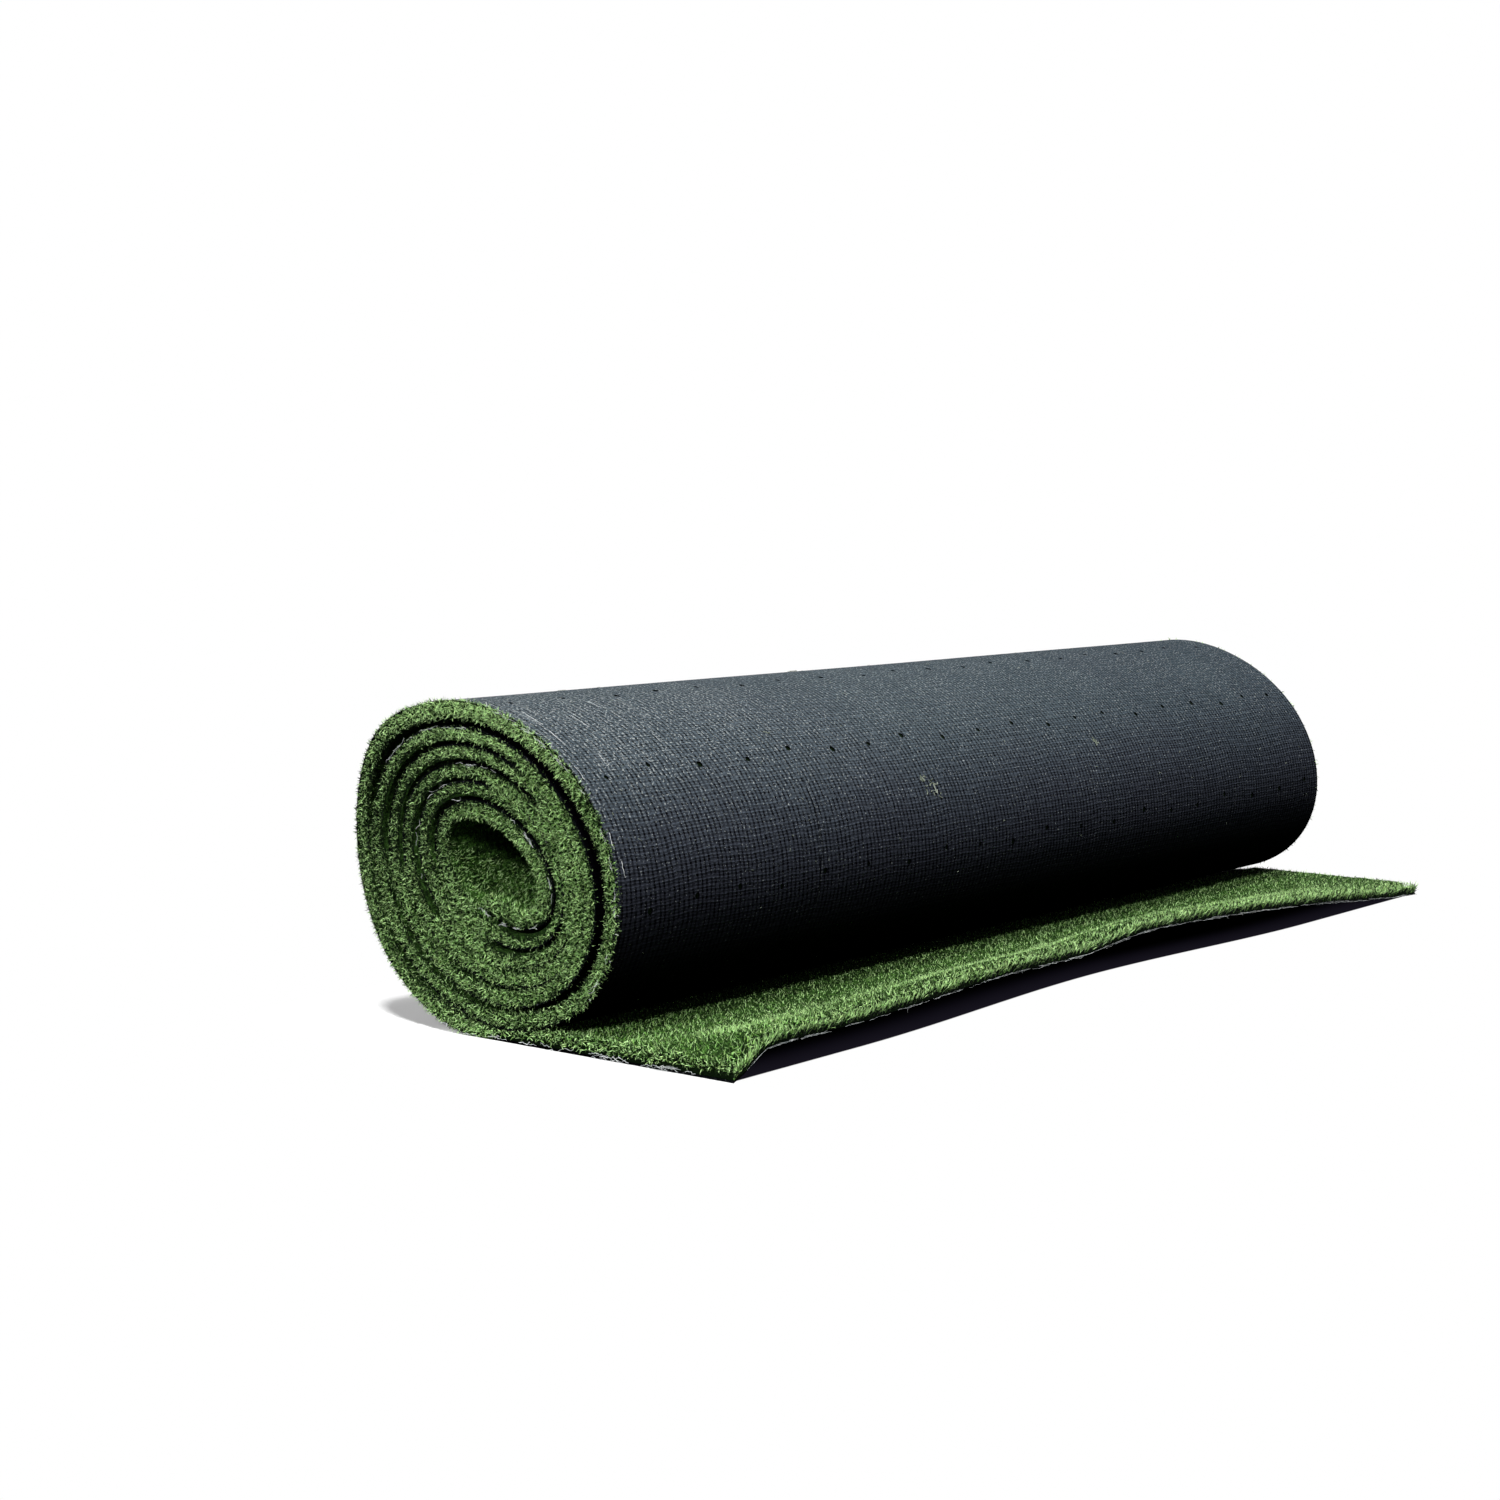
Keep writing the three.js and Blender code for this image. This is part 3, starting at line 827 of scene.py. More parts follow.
def blade_plastic():
    """Blades, painted dark as shade at the root and where they stay short, and painted pale as light at the
    tip, high up and in a few tufts.
    """
    s = settings_of("turf_pile")
    material, g, shader = new_material("blade_plastic", Specular_IOR_Level=0.08)
    tip, shade, reach = (g.attribute(name) for name in ("tip", "shade", "reach"))
    place = g.place()
    patch = g.noise(place, 28, 3, 0.6)
    tuft = g.step(g.noise(place, 260, 2, 0.6), 0.36, 0.62)
    # Painted light on the blades high up, where the light from above falls.
    lit_from_above = g.step(g.parts(place)[2], 0.34, 0.46)
    lit = g.step(tip * 0.7 + shade * 0.9 + patch * 0.2 + tuft * 0.6 + reach * 1.3 + lit_from_above * 0.2, 2.44, 2.93)
    low = g.mix(lit, s.root, s.blade)
    high = g.mix(g.step(tip * 0.8 + shade * 0.8 + tuft * 0.2 + lit_from_above * 0.5, 0.70, 1.32) * lit, low, s.tip)
    warm = g.mix(g.step(g.sine(shade, 0.11), 0.55, 1.0) * lit * 0.35, high, s.straw)
    feed(g, shader, Base_Color=warm, Roughness=0.62 - tip * 0.12)
    return material


def thread_fibre(name, pale, dark):
    material, g, shader = new_material(name, Specular_IOR_Level=0.25)
    place = g.place()
    worn = g.step(g.noise(place, 120, 3), 0.35, 0.65)
    bump = g.bump(g.noise(place, 1500, 2), 0.4, 0.0004)
    feed(g, shader, Base_Color=g.mix(worn, dark, pale), Roughness=0.7 + worn * 0.15, Normal=bump)
    return material


# ---------------------------------------------------------------- geometry nodes


class NodeMaker:
    """A Geometry Nodes tree with named inputs, used on an object and turned into a plain mesh.

    Each input is given as its default number, or as the kind of thing that it takes.
    """

    def __init__(self, name, **inputs):
        self.tree = bpy.data.node_groups.new(name, "GeometryNodeTree")
        self.socket("Geometry", "Geometry")
        self.identifiers = {}
        for label, default in inputs.items():
            kind = default if isinstance(default, str) else {int: "Int", float: "Float"}[type(default)]
            socket = self.socket(label.replace("_", " "), kind)
            if kind != default:
                socket.default_value = default
            self.identifiers[label] = socket.identifier
        self.socket("Geometry", "Geometry", "OUTPUT")
        self.graph = Graph(self.tree)
        self.entry = self.graph.add("NodeGroupInput").socket.node

    def socket(self, label, kind, way="INPUT"):
        return self.tree.interface.new_socket(label, in_out=way, socket_type=f"NodeSocket{kind}")

    def input(self, label):
        return Socket(self.graph, self.entry.outputs[label])

    def finish(self, instances):
        """Realizes the instances, gives them the material and ends the tree."""
        realized = self.graph.add("GeometryNodeRealizeInstances", None, {"Geometry": instances})
        sockets = {"Geometry": realized, "Material": self.input("Material")}
        dressed = self.graph.add("GeometryNodeSetMaterial", None, sockets)
        self.graph.add("NodeGroupOutput", None, {"Geometry": dressed})

    def turned_to(self, way):
        """The rotation that brings Z to a way."""
        return self.graph.add("FunctionNodeAlignRotationToVector", {"axis": "Z"}, {"Vector": way})

    def apply(self, obj, name, **values):
        """The evaluated result as a new plain object."""
        modifier = obj.modifiers.new("make", "NODES")
        modifier.node_group = self.tree
        for label, value in values.items():
            modifier[self.identifiers[label]] = value
        depsgraph = bpy.context.evaluated_depsgraph_get()
        mesh = bpy.data.meshes.new_from_object(obj.evaluated_get(depsgraph))
        obj.modifiers.remove(modifier)
        if not mesh.polygons:
            raise RuntimeError(f"{name} came out empty")
        mesh.name = name
        result = bpy.data.objects.new(name, mesh)
        bpy.context.scene.collection.objects.link(result)
        return result


def blade_tree():
    """Blades scattered over an emitter. They stand along its attribute grow, and spill along out."""
    maker = NodeMaker(
        "scatter_blades", Density=1000.0, Seed=1, Stand=1.0, Spill=0.5, Spread=0.5, Tuft_Lean=0.9,
        Tufts=140.0, Shortest=0.7, Longest=1.2, Blades="Collection", Material="Material",
    )
    g = maker.graph
    seed = maker.input("Seed")
    points = g.add(
        "GeometryNodeDistributePointsOnFaces",
        {"distribute_method": "RANDOM"},
        {"Mesh": maker.input("Geometry"), "Density": maker.input("Density"), "Seed": seed},
    )
    aside = g.random((-1, -1, -1), (1, 1, 1), seed + 1, "FLOAT_VECTOR")
    outward = g.scaled(g.named("out"), maker.input("Spill") * g.random(0.15, 1.0, seed + 2))
    lean = g.vectors("ADD", g.scaled(g.named("grow"), maker.input("Stand")), outward)
    loose = g.vectors("ADD", lean, g.scaled(aside, maker.input("Spread")))
    tuft = g.add(
        "ShaderNodeTexNoise",
        None,
        {"Vector": g.add("GeometryNodeInputPosition"), "Scale": maker.input("Tufts"), "Detail": 1.0},
        "Color",
    )
    together = g.scaled(g.vectors("SUBTRACT", tuft, (0.5, 0.5, 0.5)), maker.input("Tuft Lean") * 4)
    spin = g.random(0.0, FULL_TURN, seed + 3)
    rotation = g.add(
        "FunctionNodeRotateRotation",
        {"rotation_space": "LOCAL"},
        {
            "Rotation": maker.turned_to(g.vectors("ADD", loose, together)),
            "Rotate By": g.add("FunctionNodeAxisAngleToRotation", None, {"Axis": (0, 0, 1), "Angle": spin}),
        },
    )
    size = g.random(maker.input("Shortest"), maker.input("Longest"), seed + 4) * g.named("reach", "FLOAT")
    kinds = {"Collection": maker.input("Blades"), "Separate Children": True}
    blades = g.add(
        "GeometryNodeInstanceOnPoints",
        None,
        {
            "Points": points,
            "Instance": g.add("GeometryNodeCollectionInfo", None, kinds),
            "Pick Instance": True,
            "Instance Index": g.random(0, 999, seed + 5, "INT"),
            "Rotation": rotation,
            "Scale": g.vector(1, 1, size),
        },
    )
    toned = g.add(
        "GeometryNodeStoreNamedAttribute",
        {"data_type": "FLOAT", "domain": "INSTANCE"},
        {"Geometry": blades, "Name": "shade", "Value": g.random(0.0, 1.0, seed + 6)},
    )
    maker.finish(above_ground(maker, toned))
    return maker


def above_ground(maker, instances):
    """Nothing dips below the ground."""
    g = maker.graph
    realized = g.add("GeometryNodeRealizeInstances", None, {"Geometry": instances})
    x, y, z = g.parts(g.add("GeometryNodeInputPosition"))
    raised = g.vector(x, y, z.above(GROUND_CLEARANCE))
    return g.add("GeometryNodeSetPosition", None, {"Geometry": realized, "Position": raised})


def perforation_tree():
    """Round holes punched through a sheet at the vertices of another mesh, along their attribute way."""
    maker = NodeMaker("punch_holes", Radius=0.003, Depth=0.006, Seed=3, Places="Object", Material="Material")
    g = maker.graph
    punch = g.add(
        "GeometryNodeMeshCylinder",
        {"fill_type": "NGON"},
        {"Vertices": HOLE_CORNERS, "Radius": maker.input("Radius"), "Depth": maker.input("Depth")},
    )
    size = g.random(0.85, 1.2, maker.input("Seed"))
    punches = g.add(
        "GeometryNodeInstanceOnPoints",
        None,
        {
            "Points": g.add("GeometryNodeObjectInfo", None, {"Object": maker.input("Places")}, "Geometry"),
            "Instance": punch,
            "Rotation": maker.turned_to(g.named("way")),
            "Scale": g.vector(size, size, 1),
        },
    )
    cut = g.add(
        "GeometryNodeMeshBoolean",
        {"operation": "DIFFERENCE", "solver": "EXACT"},
        {
            "Mesh 1": maker.input("Geometry"),
            "Mesh 2": g.add("GeometryNodeRealizeInstances", None, {"Geometry": punches}),
        },
    )
    maker.finish(cut)
    return maker


def thread_tree():
    """Thin round threads along the edges of a mesh of lines, with their radius in its attribute thick."""
    maker = NodeMaker("spin_threads", Thickness=1.0, Sides=4, Material="Material")
    g = maker.graph
    ring = {"Resolution": maker.input("Sides"), "Radius": 1.0}
    tube = g.add(
        "GeometryNodeCurveToMesh",
        None,
        {
            "Curve": g.add("GeometryNodeMeshToCurve", None, {"Mesh": maker.input("Geometry")}),
            "Profile Curve": g.add("GeometryNodeCurvePrimitiveCircle", {"mode": "RADIUS"}, ring),
            "Scale": g.named("thick", "FLOAT") * maker.input("Thickness"),
            "Fill Caps": True,
        },
    )
    maker.finish(above_ground(maker, tube))
    return maker


# ---------------------------------------------------------------- blades


def new_blade(name, width, height, bend, segments, lowest):
    """A closed three-sided blade on Z that bends towards +X. Lowest is its attribute tip at the root."""
    thickness = width * 0.3
    centres, headings = [(0.0, 0.0)], [0.0]
    for i in range(segments):
        heading = bend * (i + 0.6) / segments
        x, z = centres[-1]
        piece = height / segments
        centres.append((x + piece * math.sin(heading), z + piece * math.cos(heading)))
        headings.append(heading)
    points, tips = [], []
    for i in range(segments):
        (x, z), heading = centres[i], headings[i]
        half = width / 2 * (1 - 0.3 * i / segments)
        ridge_x, ridge_z = x + thickness * math.cos(heading), z - thickness * math.sin(heading)
        points += [(x, -half, z), (x, half, z), (ridge_x, 0, ridge_z)]
        tips += [lowest + (1 - lowest) * i / segments] * 3
    points.append((centres[-1][0], 0, centres[-1][1]))
    tips.append(1.0)
    faces = [(0, 1, 2)]
    for i in range(segments - 1):
        for a in range(3):
            b = (a + 1) % 3
            faces.append((3 * i + a, 3 * i + 3 + a, 3 * i + 3 + b, 3 * i + b))
    last = 3 * (segments - 1)
    faces += [(last + a, len(points) - 1, last + (a + 1) % 3) for a in range(3)]
    obj = new_object(name, points, faces)
    store(obj.data, "tip", tips)
    face_outward(obj.data)
    smooth(obj.data, sharp_degrees=75)
    return obj


def blade_collection(kind, blade_width):
    """Blades of one kind, one for each of its bends."""
    share, height, bends, segments, lowest = BLADE_KINDS[kind]
    width = blade_width * share
    collection = bpy.data.collections.new(kind)
    bpy.context.scene.collection.children.link(collection)
    for i, bend in enumerate(bends):
        wide, tall = width * (0.8 + 0.12 * (i % 4)), height * (0.9 + 0.07 * (i % 3))
        obj = new_blade(f"{kind}_{i}", wide, tall, bend, segments, lowest)
        bpy.context.scene.collection.objects.unlink(obj)
        collection.objects.link(obj)
    return collection


def delete_collection(collection):
    for obj in list(collection.objects):
        bpy.data.objects.remove(obj, do_unlink=True)
    bpy.data.collections.remove(collection)


def emitter(points, faces, grow, out, reach):
    obj = new_object("emitter", points, faces)
    store(obj.data, "grow", grow, "FLOAT_VECTOR")
    store(obj.data, "out", out, "FLOAT_VECTOR")
    store(obj.data, "reach", np.broadcast_to(reach, (len(points),)))
    return obj


def grid_faces(rows, columns):
    """Quads between rows of so many columns of points each."""
    return [
        (r * columns + c, r * columns + c + 1, (r + 1) * columns + c + 1, (r + 1) * columns + c)
        for r in range(rows - 1)
        for c in range(columns - 1)
    ]


def surface_emitter(sheet, steps, shares, reach):
    """An emitter inside the pile, along the sheet. The reach is a function of the step and the share."""
    step = np.repeat(np.array(steps, float), len(shares))
    share = np.tile(np.array(shares, float), len(steps))
    depth = sheet.foot + BLADE_FOOT * sheet.pile_at(np.round(step).astype(int))
    points = sheet.points(step, share, depth)
    faces = grid_faces(len(steps), len(shares))
    return emitter(points, faces, sheet.to_pile(step, share), np.zeros((len(points), 3)), reach(step, share))


def end_emitter(sheet, steps, share, bounds, leans):
    """An emitter on the cut side of the pile at one end of the roll, from a low to a high depth at each step.

    The blades reach farther in the middle of the pile than beside an open seam, so that each turn is rounded;
    the shorter reach also paints them darker there, as shade in the seam.
    """
    out_way = np.array((0, -1 if share == 0 else 1, 0), float)
    turns = np.array(steps, float) / STEPS_PER_TURN
    across = np.linspace(0, 1, END_ROWS)
    depth, lean = (np.outer(low, 1 - across) + np.outer(high, across) for low, high in (bounds, leans))
    step = np.repeat(np.array(steps, float), END_ROWS)
    shares = np.full(len(step), float(share))
    points = sheet.points(step, shares, depth.ravel()) - out_way * END_RECESS
    grow = sheet.to_pile(step, shares) * lean.reshape(-1, 1)
    dip = np.outer(seam_depth(turns), (1 - across) ** 6) + np.outer(seam_depth(turns - 1), across**6)
    # Painted shade on the -X side, which is the pressed side: the blades there reach less, so they are
    # shorter and painted darker.
    shorter = 0.13 * hump((turns % 1) - 0.78, 0.22)  # on the pressed side
    reach = (1.12 - 0.46 * dip - shorter[:, None]).ravel()
    return emitter(points, grid_faces(len(steps), END_ROWS), grow, np.tile(out_way, (len(points), 1)), reach)


class Blades:
    """Scatters blades over emitters. Each emitter becomes one plain piece that rides on the root."""

    def __init__(self, settings):
        self.s, self.maker, self.material = settings, blade_tree(), blade_plastic()

    def cover(self, source, name, kind, number, seed, **inputs):
        area = sum(face.area for face in source.data.polygons)
        blades = blade_collection(kind, self.s.blade_width)
        inputs.update(Density=number / area, Seed=self.s.seed + seed, Blades=blades, Material=self.material)
        obj = self.maker.apply(source, name, **inputs)
        bpy.data.objects.remove(source, do_unlink=True)
        delete_collection(blades)
        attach(obj, "root")


# ---------------------------------------------------------------- threads


class Strands:
    """Lines of points, to be spun into thin round threads."""

    def __init__(self, sheet, seed):
        self.sheet, self.random = sheet, random.Random(seed)
        self.points, self.edges, self.thick = [], [], []

    def add(self, line, radius):
        first = len(self.points)
        self.points.extend(line)
        self.edges.extend((first + i, first + i + 1) for i in range(len(line) - 1))
        self.thick.extend([radius] * len(line))

    def wave(self, height, count):
        """A soft random wave over so many points."""
        place = FULL_TURN * np.linspace(0, 1, count)
        spans = ((0.6, 1.4), (2, 4), (0, 7), (0, 7))
        slow, fast, first, second = (self.random.uniform(*span) for span in spans)
        return height * (np.sin(slow * place + first) + 0.5 * np.sin(fast * place + second))

    def gauge(self, step):
        """The length of one step."""
        return self.sheet.along[min(int(step) + 1, self.sheet.last)] - self.sheet.along[int(step)]

    def over_sheet(self, middle, length, shares, depth, count):
        """A line along the sheet, with its steps from a length around the middle one."""
        steps = middle + np.linspace(-0.5, 0.5, count) * length / self.gauge(middle)
        return self.sheet.points(np.clip(steps, 0, self.sheet.last), shares, depth)

    def fray(self, first_turn, last_turn, count, longest):
        """Threads that lie along the backing's cut edge at the -Y end, and curl off it."""
        draw = self.random.uniform
        on_flat_end = first_turn * STEPS_PER_TURN > self.sheet.coil_steps - 12
        depths, rise, radii = FLAT_FRAY if on_flat_end else COIL_FRAY
        loose = np.linspace(0, 1, THREAD_POINTS) ** 3
        for _ in range(count):
            depth = draw(*depths) + self.wave(rise, THREAD_POINTS) + loose * draw(-0.004, 0.004)
            out = np.maximum(draw(0.0015, 0.0065) + self.wave(0.0010, THREAD_POINTS), 0.0008)
            out = out + loose * draw(0, 0.003)
            middle = draw(first_turn, last_turn) * STEPS_PER_TURN
            reach = longest * draw(0.3, 1) * self.random.choice((-1, 1))
            line = self.over_sheet(middle, reach, 0, depth, THREAD_POINTS)
            self.add(line - np.outer(out, (0, 1, 0)), draw(*radii))

    def curl(self, turn, size):
        """A loop that stands off the outer turn's cut edge."""
        draw = self.random.uniform
        step = np.array([turn * STEPS_PER_TURN])
        start = self.sheet.points(step, np.zeros(1), 0.0)[0]
        off = -self.sheet.to_pile(step, np.zeros(1))[0]
        aside = np.cross(off, (0, 1, 0)) * draw(-1, 1) + np.array((0, -draw(0.3, 1), 0))
        angles = np.linspace(0, draw(2.5, 5.2), 9)
        line = np.outer(1 - np.cos(angles), off) + np.outer(np.sin(angles) + angles * 0.2, aside)
        self.add(start + line * size, draw(0.00025, 0.0004))

    def tangle(self, turn, share, reach, count):
        """Short curled fibres that cling together on the outer turn, around one place."""
        draw = self.random.uniform
        step = turn * STEPS_PER_TURN
        for _ in range(count):
            heading, bend = draw(0, FULL_TURN) + np.linspace(0, draw(-4, 4), 8), draw(0.0005, 0.0012)
            along, aside = (draw(-reach, reach) + np.cumsum(way(heading)) * bend for way in (np.cos, np.sin))
            steps, shares = step + along / self.gauge(step), share + aside / self.sheet.s.width
            self.add(self.sheet.points(steps, shares, LINT_DEPTH), draw(0.0004, 0.0007))

    def along_free_edge(self, share, length, hang=0.0):
        """A thread on the backing's edge at the free end. Its last third may hang."""
        draw = self.random.uniform
        shares = np.clip(share + np.linspace(0, 1, THREAD_POINTS) * length / self.sheet.s.width, 0, 1)
        depth = draw(0.0003, 0.0026) + self.wave(0.0006, THREAD_POINTS)
        line = self.sheet.points(float(self.sheet.last), shares, depth)
        line[:, 0] += np.maximum(draw(0.0004, 0.0016) + self.wave(0.0006, THREAD_POINTS), 0.0003)
        line[:, 2] -= hang * np.clip(np.linspace(-1.2, 1, THREAD_POINTS), 0, 1) ** 1.5
        self.add(line, draw(0.00012, 0.00026))

    def spin(self, name, material, slot):
        source = new_object("strands", self.points, [], edges=self.edges)
        store(source.data, "thick", self.thick)
        obj = thread_tree().apply(source, name, Material=material)
        bpy.data.objects.remove(source, do_unlink=True)
        smooth(obj.data)
        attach(obj, "root")


# ---------------------------------------------------------------- operators


class TurfOperator(bpy.types.Operator):
    """What every operator does: it builds its pieces from the settings, and fails where it made none"""

    bl_options = {"REGISTER", "UNDO"}

    def execute(self, context):
        scene = context.scene
        before = len(scene.objects)
        self.build(scene, Sheet(scene.turf_sheet))
        if len(scene.objects) <= before:
            raise RuntimeError(f"{self.bl_label} made nothing")
        return {"FINISHED"}


class TURF_OT_backing(TurfOperator):
    """Weave the backing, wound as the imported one, and punch its drainage holes"""

    bl_idname = "turf.backing"
    bl_label = "Backing"

    def build(self, scene, sheet):
        s = scene.turf_backing
        thickness = sheet.s.backing_thickness
        outer_turn = sheet.coil_steps - STEPS_PER_TURN - 4
        layer = Layer(
            sheet,
            range(sheet.last + 1),
            lambda step: BACKING_COLUMNS if step >= outer_turn else HIDDEN_COLUMNS,
            lambda step, shares: np.zeros(len(shares)),
            lambda step, shares: np.full(len(shares), thickness),
        )
        material = backing_cloth()
        bare = layer.build("bare_backing", material)
        places, ways = self.holes(sheet, s)
        marks = new_object("hole_places", places, [])
        store(marks.data, "way", ways, "FLOAT_VECTOR")
        sizes = {"Radius": s.hole_diameter / 2, "Depth": 3 * thickness}
        backing = perforation_tree().apply(bare, "woven_backing", Places=marks, Material=material, **sizes)
        for used in (marks, bare):
            bpy.data.objects.remove(used, do_unlink=True)
        smooth(backing.data)
        low, high = (np.array(corner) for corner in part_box("backing"))
        corners = np.array([v.co for v in backing.data.vertices])
        slip = max(np.abs(corners.min(0) - low).max(), np.abs(corners.max(0) - high).max())
        if slip > CURVE_TOLERANCE + sheet.s.edge_wander + sheet.s.slack_wave:
            raise RuntimeError(f"the backing lies {slip:.4f} m from the packed one")
        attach(backing, "root")
        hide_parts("backing")

    @staticmethod
    def holes(sheet, s):
        """The middles of the holes, and the ways through them. Each is punched a little off its place."""
        open_length = sheet.along[-1] - sheet.along[sheet.coil_steps - STEPS_PER_TURN]
        columns = int(sheet.s.width / s.hole_spacing)
        rows = math.ceil((open_length - s.first_row) / s.row_spacing)
        places, ways = [], []

        def stray(first, second):
            return s.hole_stray * math.sin(7.3 * first + 4.1 * second)

        for row in range(rows):
            for column in range(columns):
                from_edge = s.first_row + row * s.row_spacing + stray(row, column)
                y = (column - (columns - 1) / 2) * s.hole_spacing + stray(column, row)
                step, share = np.array([sheet.step_at(from_edge)]), np.array([0.5 + y / sheet.s.width])
                places.extend(sheet.points(step, share, sheet.s.backing_thickness / 2))
                ways.extend(sheet.to_pile(step, share))
        return np.array(places), np.array(ways)


class TURF_OT_pile(TurfOperator):
    """Fill the sheet's pile side with the dense mass that the loose blades stand on"""

    bl_idname = "turf.pile"
    bl_label = "Pile mass"

    def build(self, scene, sheet):
        def columns(step):
            if step >= sheet.coil_steps + FLAT_MARGIN:
                return OPEN_PILE_COLUMNS
            return CORE_PILE_COLUMNS if step <= STEPS_PER_TURN * 1.1 else HIDDEN_COLUMNS

        def top(step, shares):
            rough = np.zeros(len(shares))
            if columns(step) > HIDDEN_COLUMNS:
                u, across = sheet.along[step] * ROUGH_SCALE, (shares - 0.5) * sheet.s.width * ROUGH_SCALE
                rough = ROUGH_HEIGHT * np.array([noise.noise(Vector((u, v, 0))) for v in across])
            fill = PILE_FILL - 0.5 * smooth_step(step, sheet.last - 5, sheet.last - 1)
            return sheet.foot + sheet.pile_at(step) * fill - MASS_DROP + rough

        def foot(step, shares):
            return np.full(len(shares), sheet.foot)

        layer = Layer(sheet, range(sheet.last + 1), columns, foot, top, MASS_INSET)
        height = sheet.s.pile_height
        mass = layer.build("pile_mass", pile_mat(), lambda depth: (depth - sheet.foot) / height)
        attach(mass, "root")
        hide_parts("pile")


class TURF_OT_end_blades(TurfOperator):
    """Scatter curled blades over the pile's cut sides at both ends of the roll"""

    bl_idname = "turf.end_blades"
    bl_label = "Blades at the ends"

    def build(self, scene, sheet):
        s = scene.turf_pile
        blades = Blades(s)
        middle = int(sheet.coil_steps * 0.7)
        for name, low, high, kind, number in (
            ("near_end_blades_1", 0, middle, "fine", s.end_blades),
            ("near_end_blades_2", middle, sheet.coil_steps, "fine", s.end_blades),
            ("near_end_curls", 0, sheet.coil_steps, "curled", s.end_curls),
        ):
            steps = np.arange(low, high + 1)
            source = end_emitter(sheet, steps, 0, self.bounds(sheet, steps), self.leans(steps))
            part = (sheet.along[high] - sheet.along[low]) / sheet.along[sheet.coil_steps]
            blades.cover(
                source, name, kind, number * part, low,
                Stand=0.6, Spill=0.9, Spread=0.7, Tufts=210.0, Shortest=0.6, Longest=1.15,
            )

        steps = np.arange(sheet.coil_steps - FLAT_MARGIN, sheet.last + 1)
        leans = (np.full(len(steps), 0.8), np.full(len(steps), 0.9))
        source = end_emitter(sheet, steps, 0, self.bounds(sheet, steps), leans)
        blades.cover(
            source, "flat_end_side_blades", "long", s.side_blades, 3,
            Stand=0.9, Spill=0.75, Spread=0.6, Shortest=0.6, Longest=1.15,
        )

        steps = np.array([*range(0, sheet.last, 2), sheet.last])
        foot = np.full(len(steps), sheet.foot)
        leans = (np.full(len(steps), -0.6), np.full(len(steps), 0.8))
        filled = sheet.pile_at(steps) * np.where(steps < sheet.coil_steps, 0.95, 0.70)
        source = end_emitter(sheet, steps, 1, (foot, foot + filled), leans)
        blades.cover(
            source, "far_end_blades", "bent", s.far_end_blades, 5,
            Stand=0.6, Spill=0.8, Spread=0.7, Shortest=0.7, Longest=1.2,
        )

    @staticmethod
    def bounds(sheet, steps):
        """The blades hide the backing's edge on both sides, but for the open seams."""
        turns = steps / STEPS_PER_TURN
        on_flat_end = 0.0045 + 0.0045 * smooth_step(turns, 6.45, 6.6)
        shut = -0.0030 * (1 - np.minimum(seam_open(turns), 1))
        loose = 0.24 * smooth_step(turns, 5.13, 5.25) * (1 - smooth_step(turns, 5.34, 5.44))
        held_back = np.where(turns > LOOSE_TURN, loose, np.maximum(0.18 * seam_open(turns - 1), loose))
        low = np.where(steps < sheet.coil_steps, shut, on_flat_end)
        return sheet.foot + low, sheet.foot + sheet.pile_at(steps) * (0.98 - held_back)

    @staticmethod
    def leans(steps):
        """How far the blades lean, away from the backing, at its edge and at the pile's top."""
        turns = steps / STEPS_PER_TURN
        over_gap = 2.4 * hump(turns - 5.47, 0.10) + 1.2 * hump(turns - 5.13, 0.07)
        shut_in = np.where(turns > LOOSE_TURN, 0.4, 1.1) * np.minimum(seam_open(turns - 1), 1.4)
        return -0.9 + 1.4 * np.minimum(seam_open(turns), 1), 0.8 - shut_in + over_gap


class TURF_OT_top_blades(TurfOperator):
    """Scatter blades over the flat end and inside the coil"""

    bl_idname = "turf.top_blades"
    bl_label = "Blades on the pile"

    def build(self, scene, sheet):
        s = scene.turf_pile
        blades = Blades(s)
        steps = [*range(sheet.coil_steps + 10, sheet.last - 1, 2), sheet.last - 0.8]
        for i, (low, high) in enumerate(((0.0, 0.5), (0.5, 1.0))):
            source = surface_emitter(sheet, steps, np.linspace(low, high, 61), self.on_flat_end)
            blades.cover(
                source, f"flat_end_blades_{i + 1}", "spikes", s.top_blades / 2, 10 + i,
                Spill=0.0, Spread=1.25, Tufts=200.0, Shortest=0.55, Longest=1.05,
            )
        steps = range(0, STEPS_PER_TURN + 6, 2)
        for i, (low, high, part) in enumerate(((0.0, 0.12, 0.74), (0.12, 0.4, 0.16), (0.92, 1.0, 0.10))):
            source = surface_emitter(sheet, steps, np.linspace(low, high, 31), self.in_core)
            blades.cover(
                source, f"core_blades_{i + 1}", "spikes", s.core_blades * part, 20 + i,
                Spill=0.0, Spread=0.8, Tufts=200.0, Shortest=0.6, Longest=1.15,
            )

    @staticmethod
    def on_flat_end(step, share):
        """Longer and painted paler towards the -Y side as light, and a little shorter and painted darker
        towards +Y as shade.
        """
        return 1.14 + 0.34 * (1 - smooth_step(share, 0.02, 0.16)) - 0.06 * smooth_step(share, 0.5, 0.9)

    @staticmethod
    def in_core(step, share):
        """Full on the coil's floor, and flattened under its roof, where the short reach also paints the
        blades dark as the roof's shadow.
        """
        turn = step / STEPS_PER_TURN
        edge = 0.77 + 1.65 * share
        roof = smooth_step(turn, 0.12, 0.25) * (1 - smooth_step(turn, edge, edge + 0.06))
        return 1.27 - 0.75 * roof


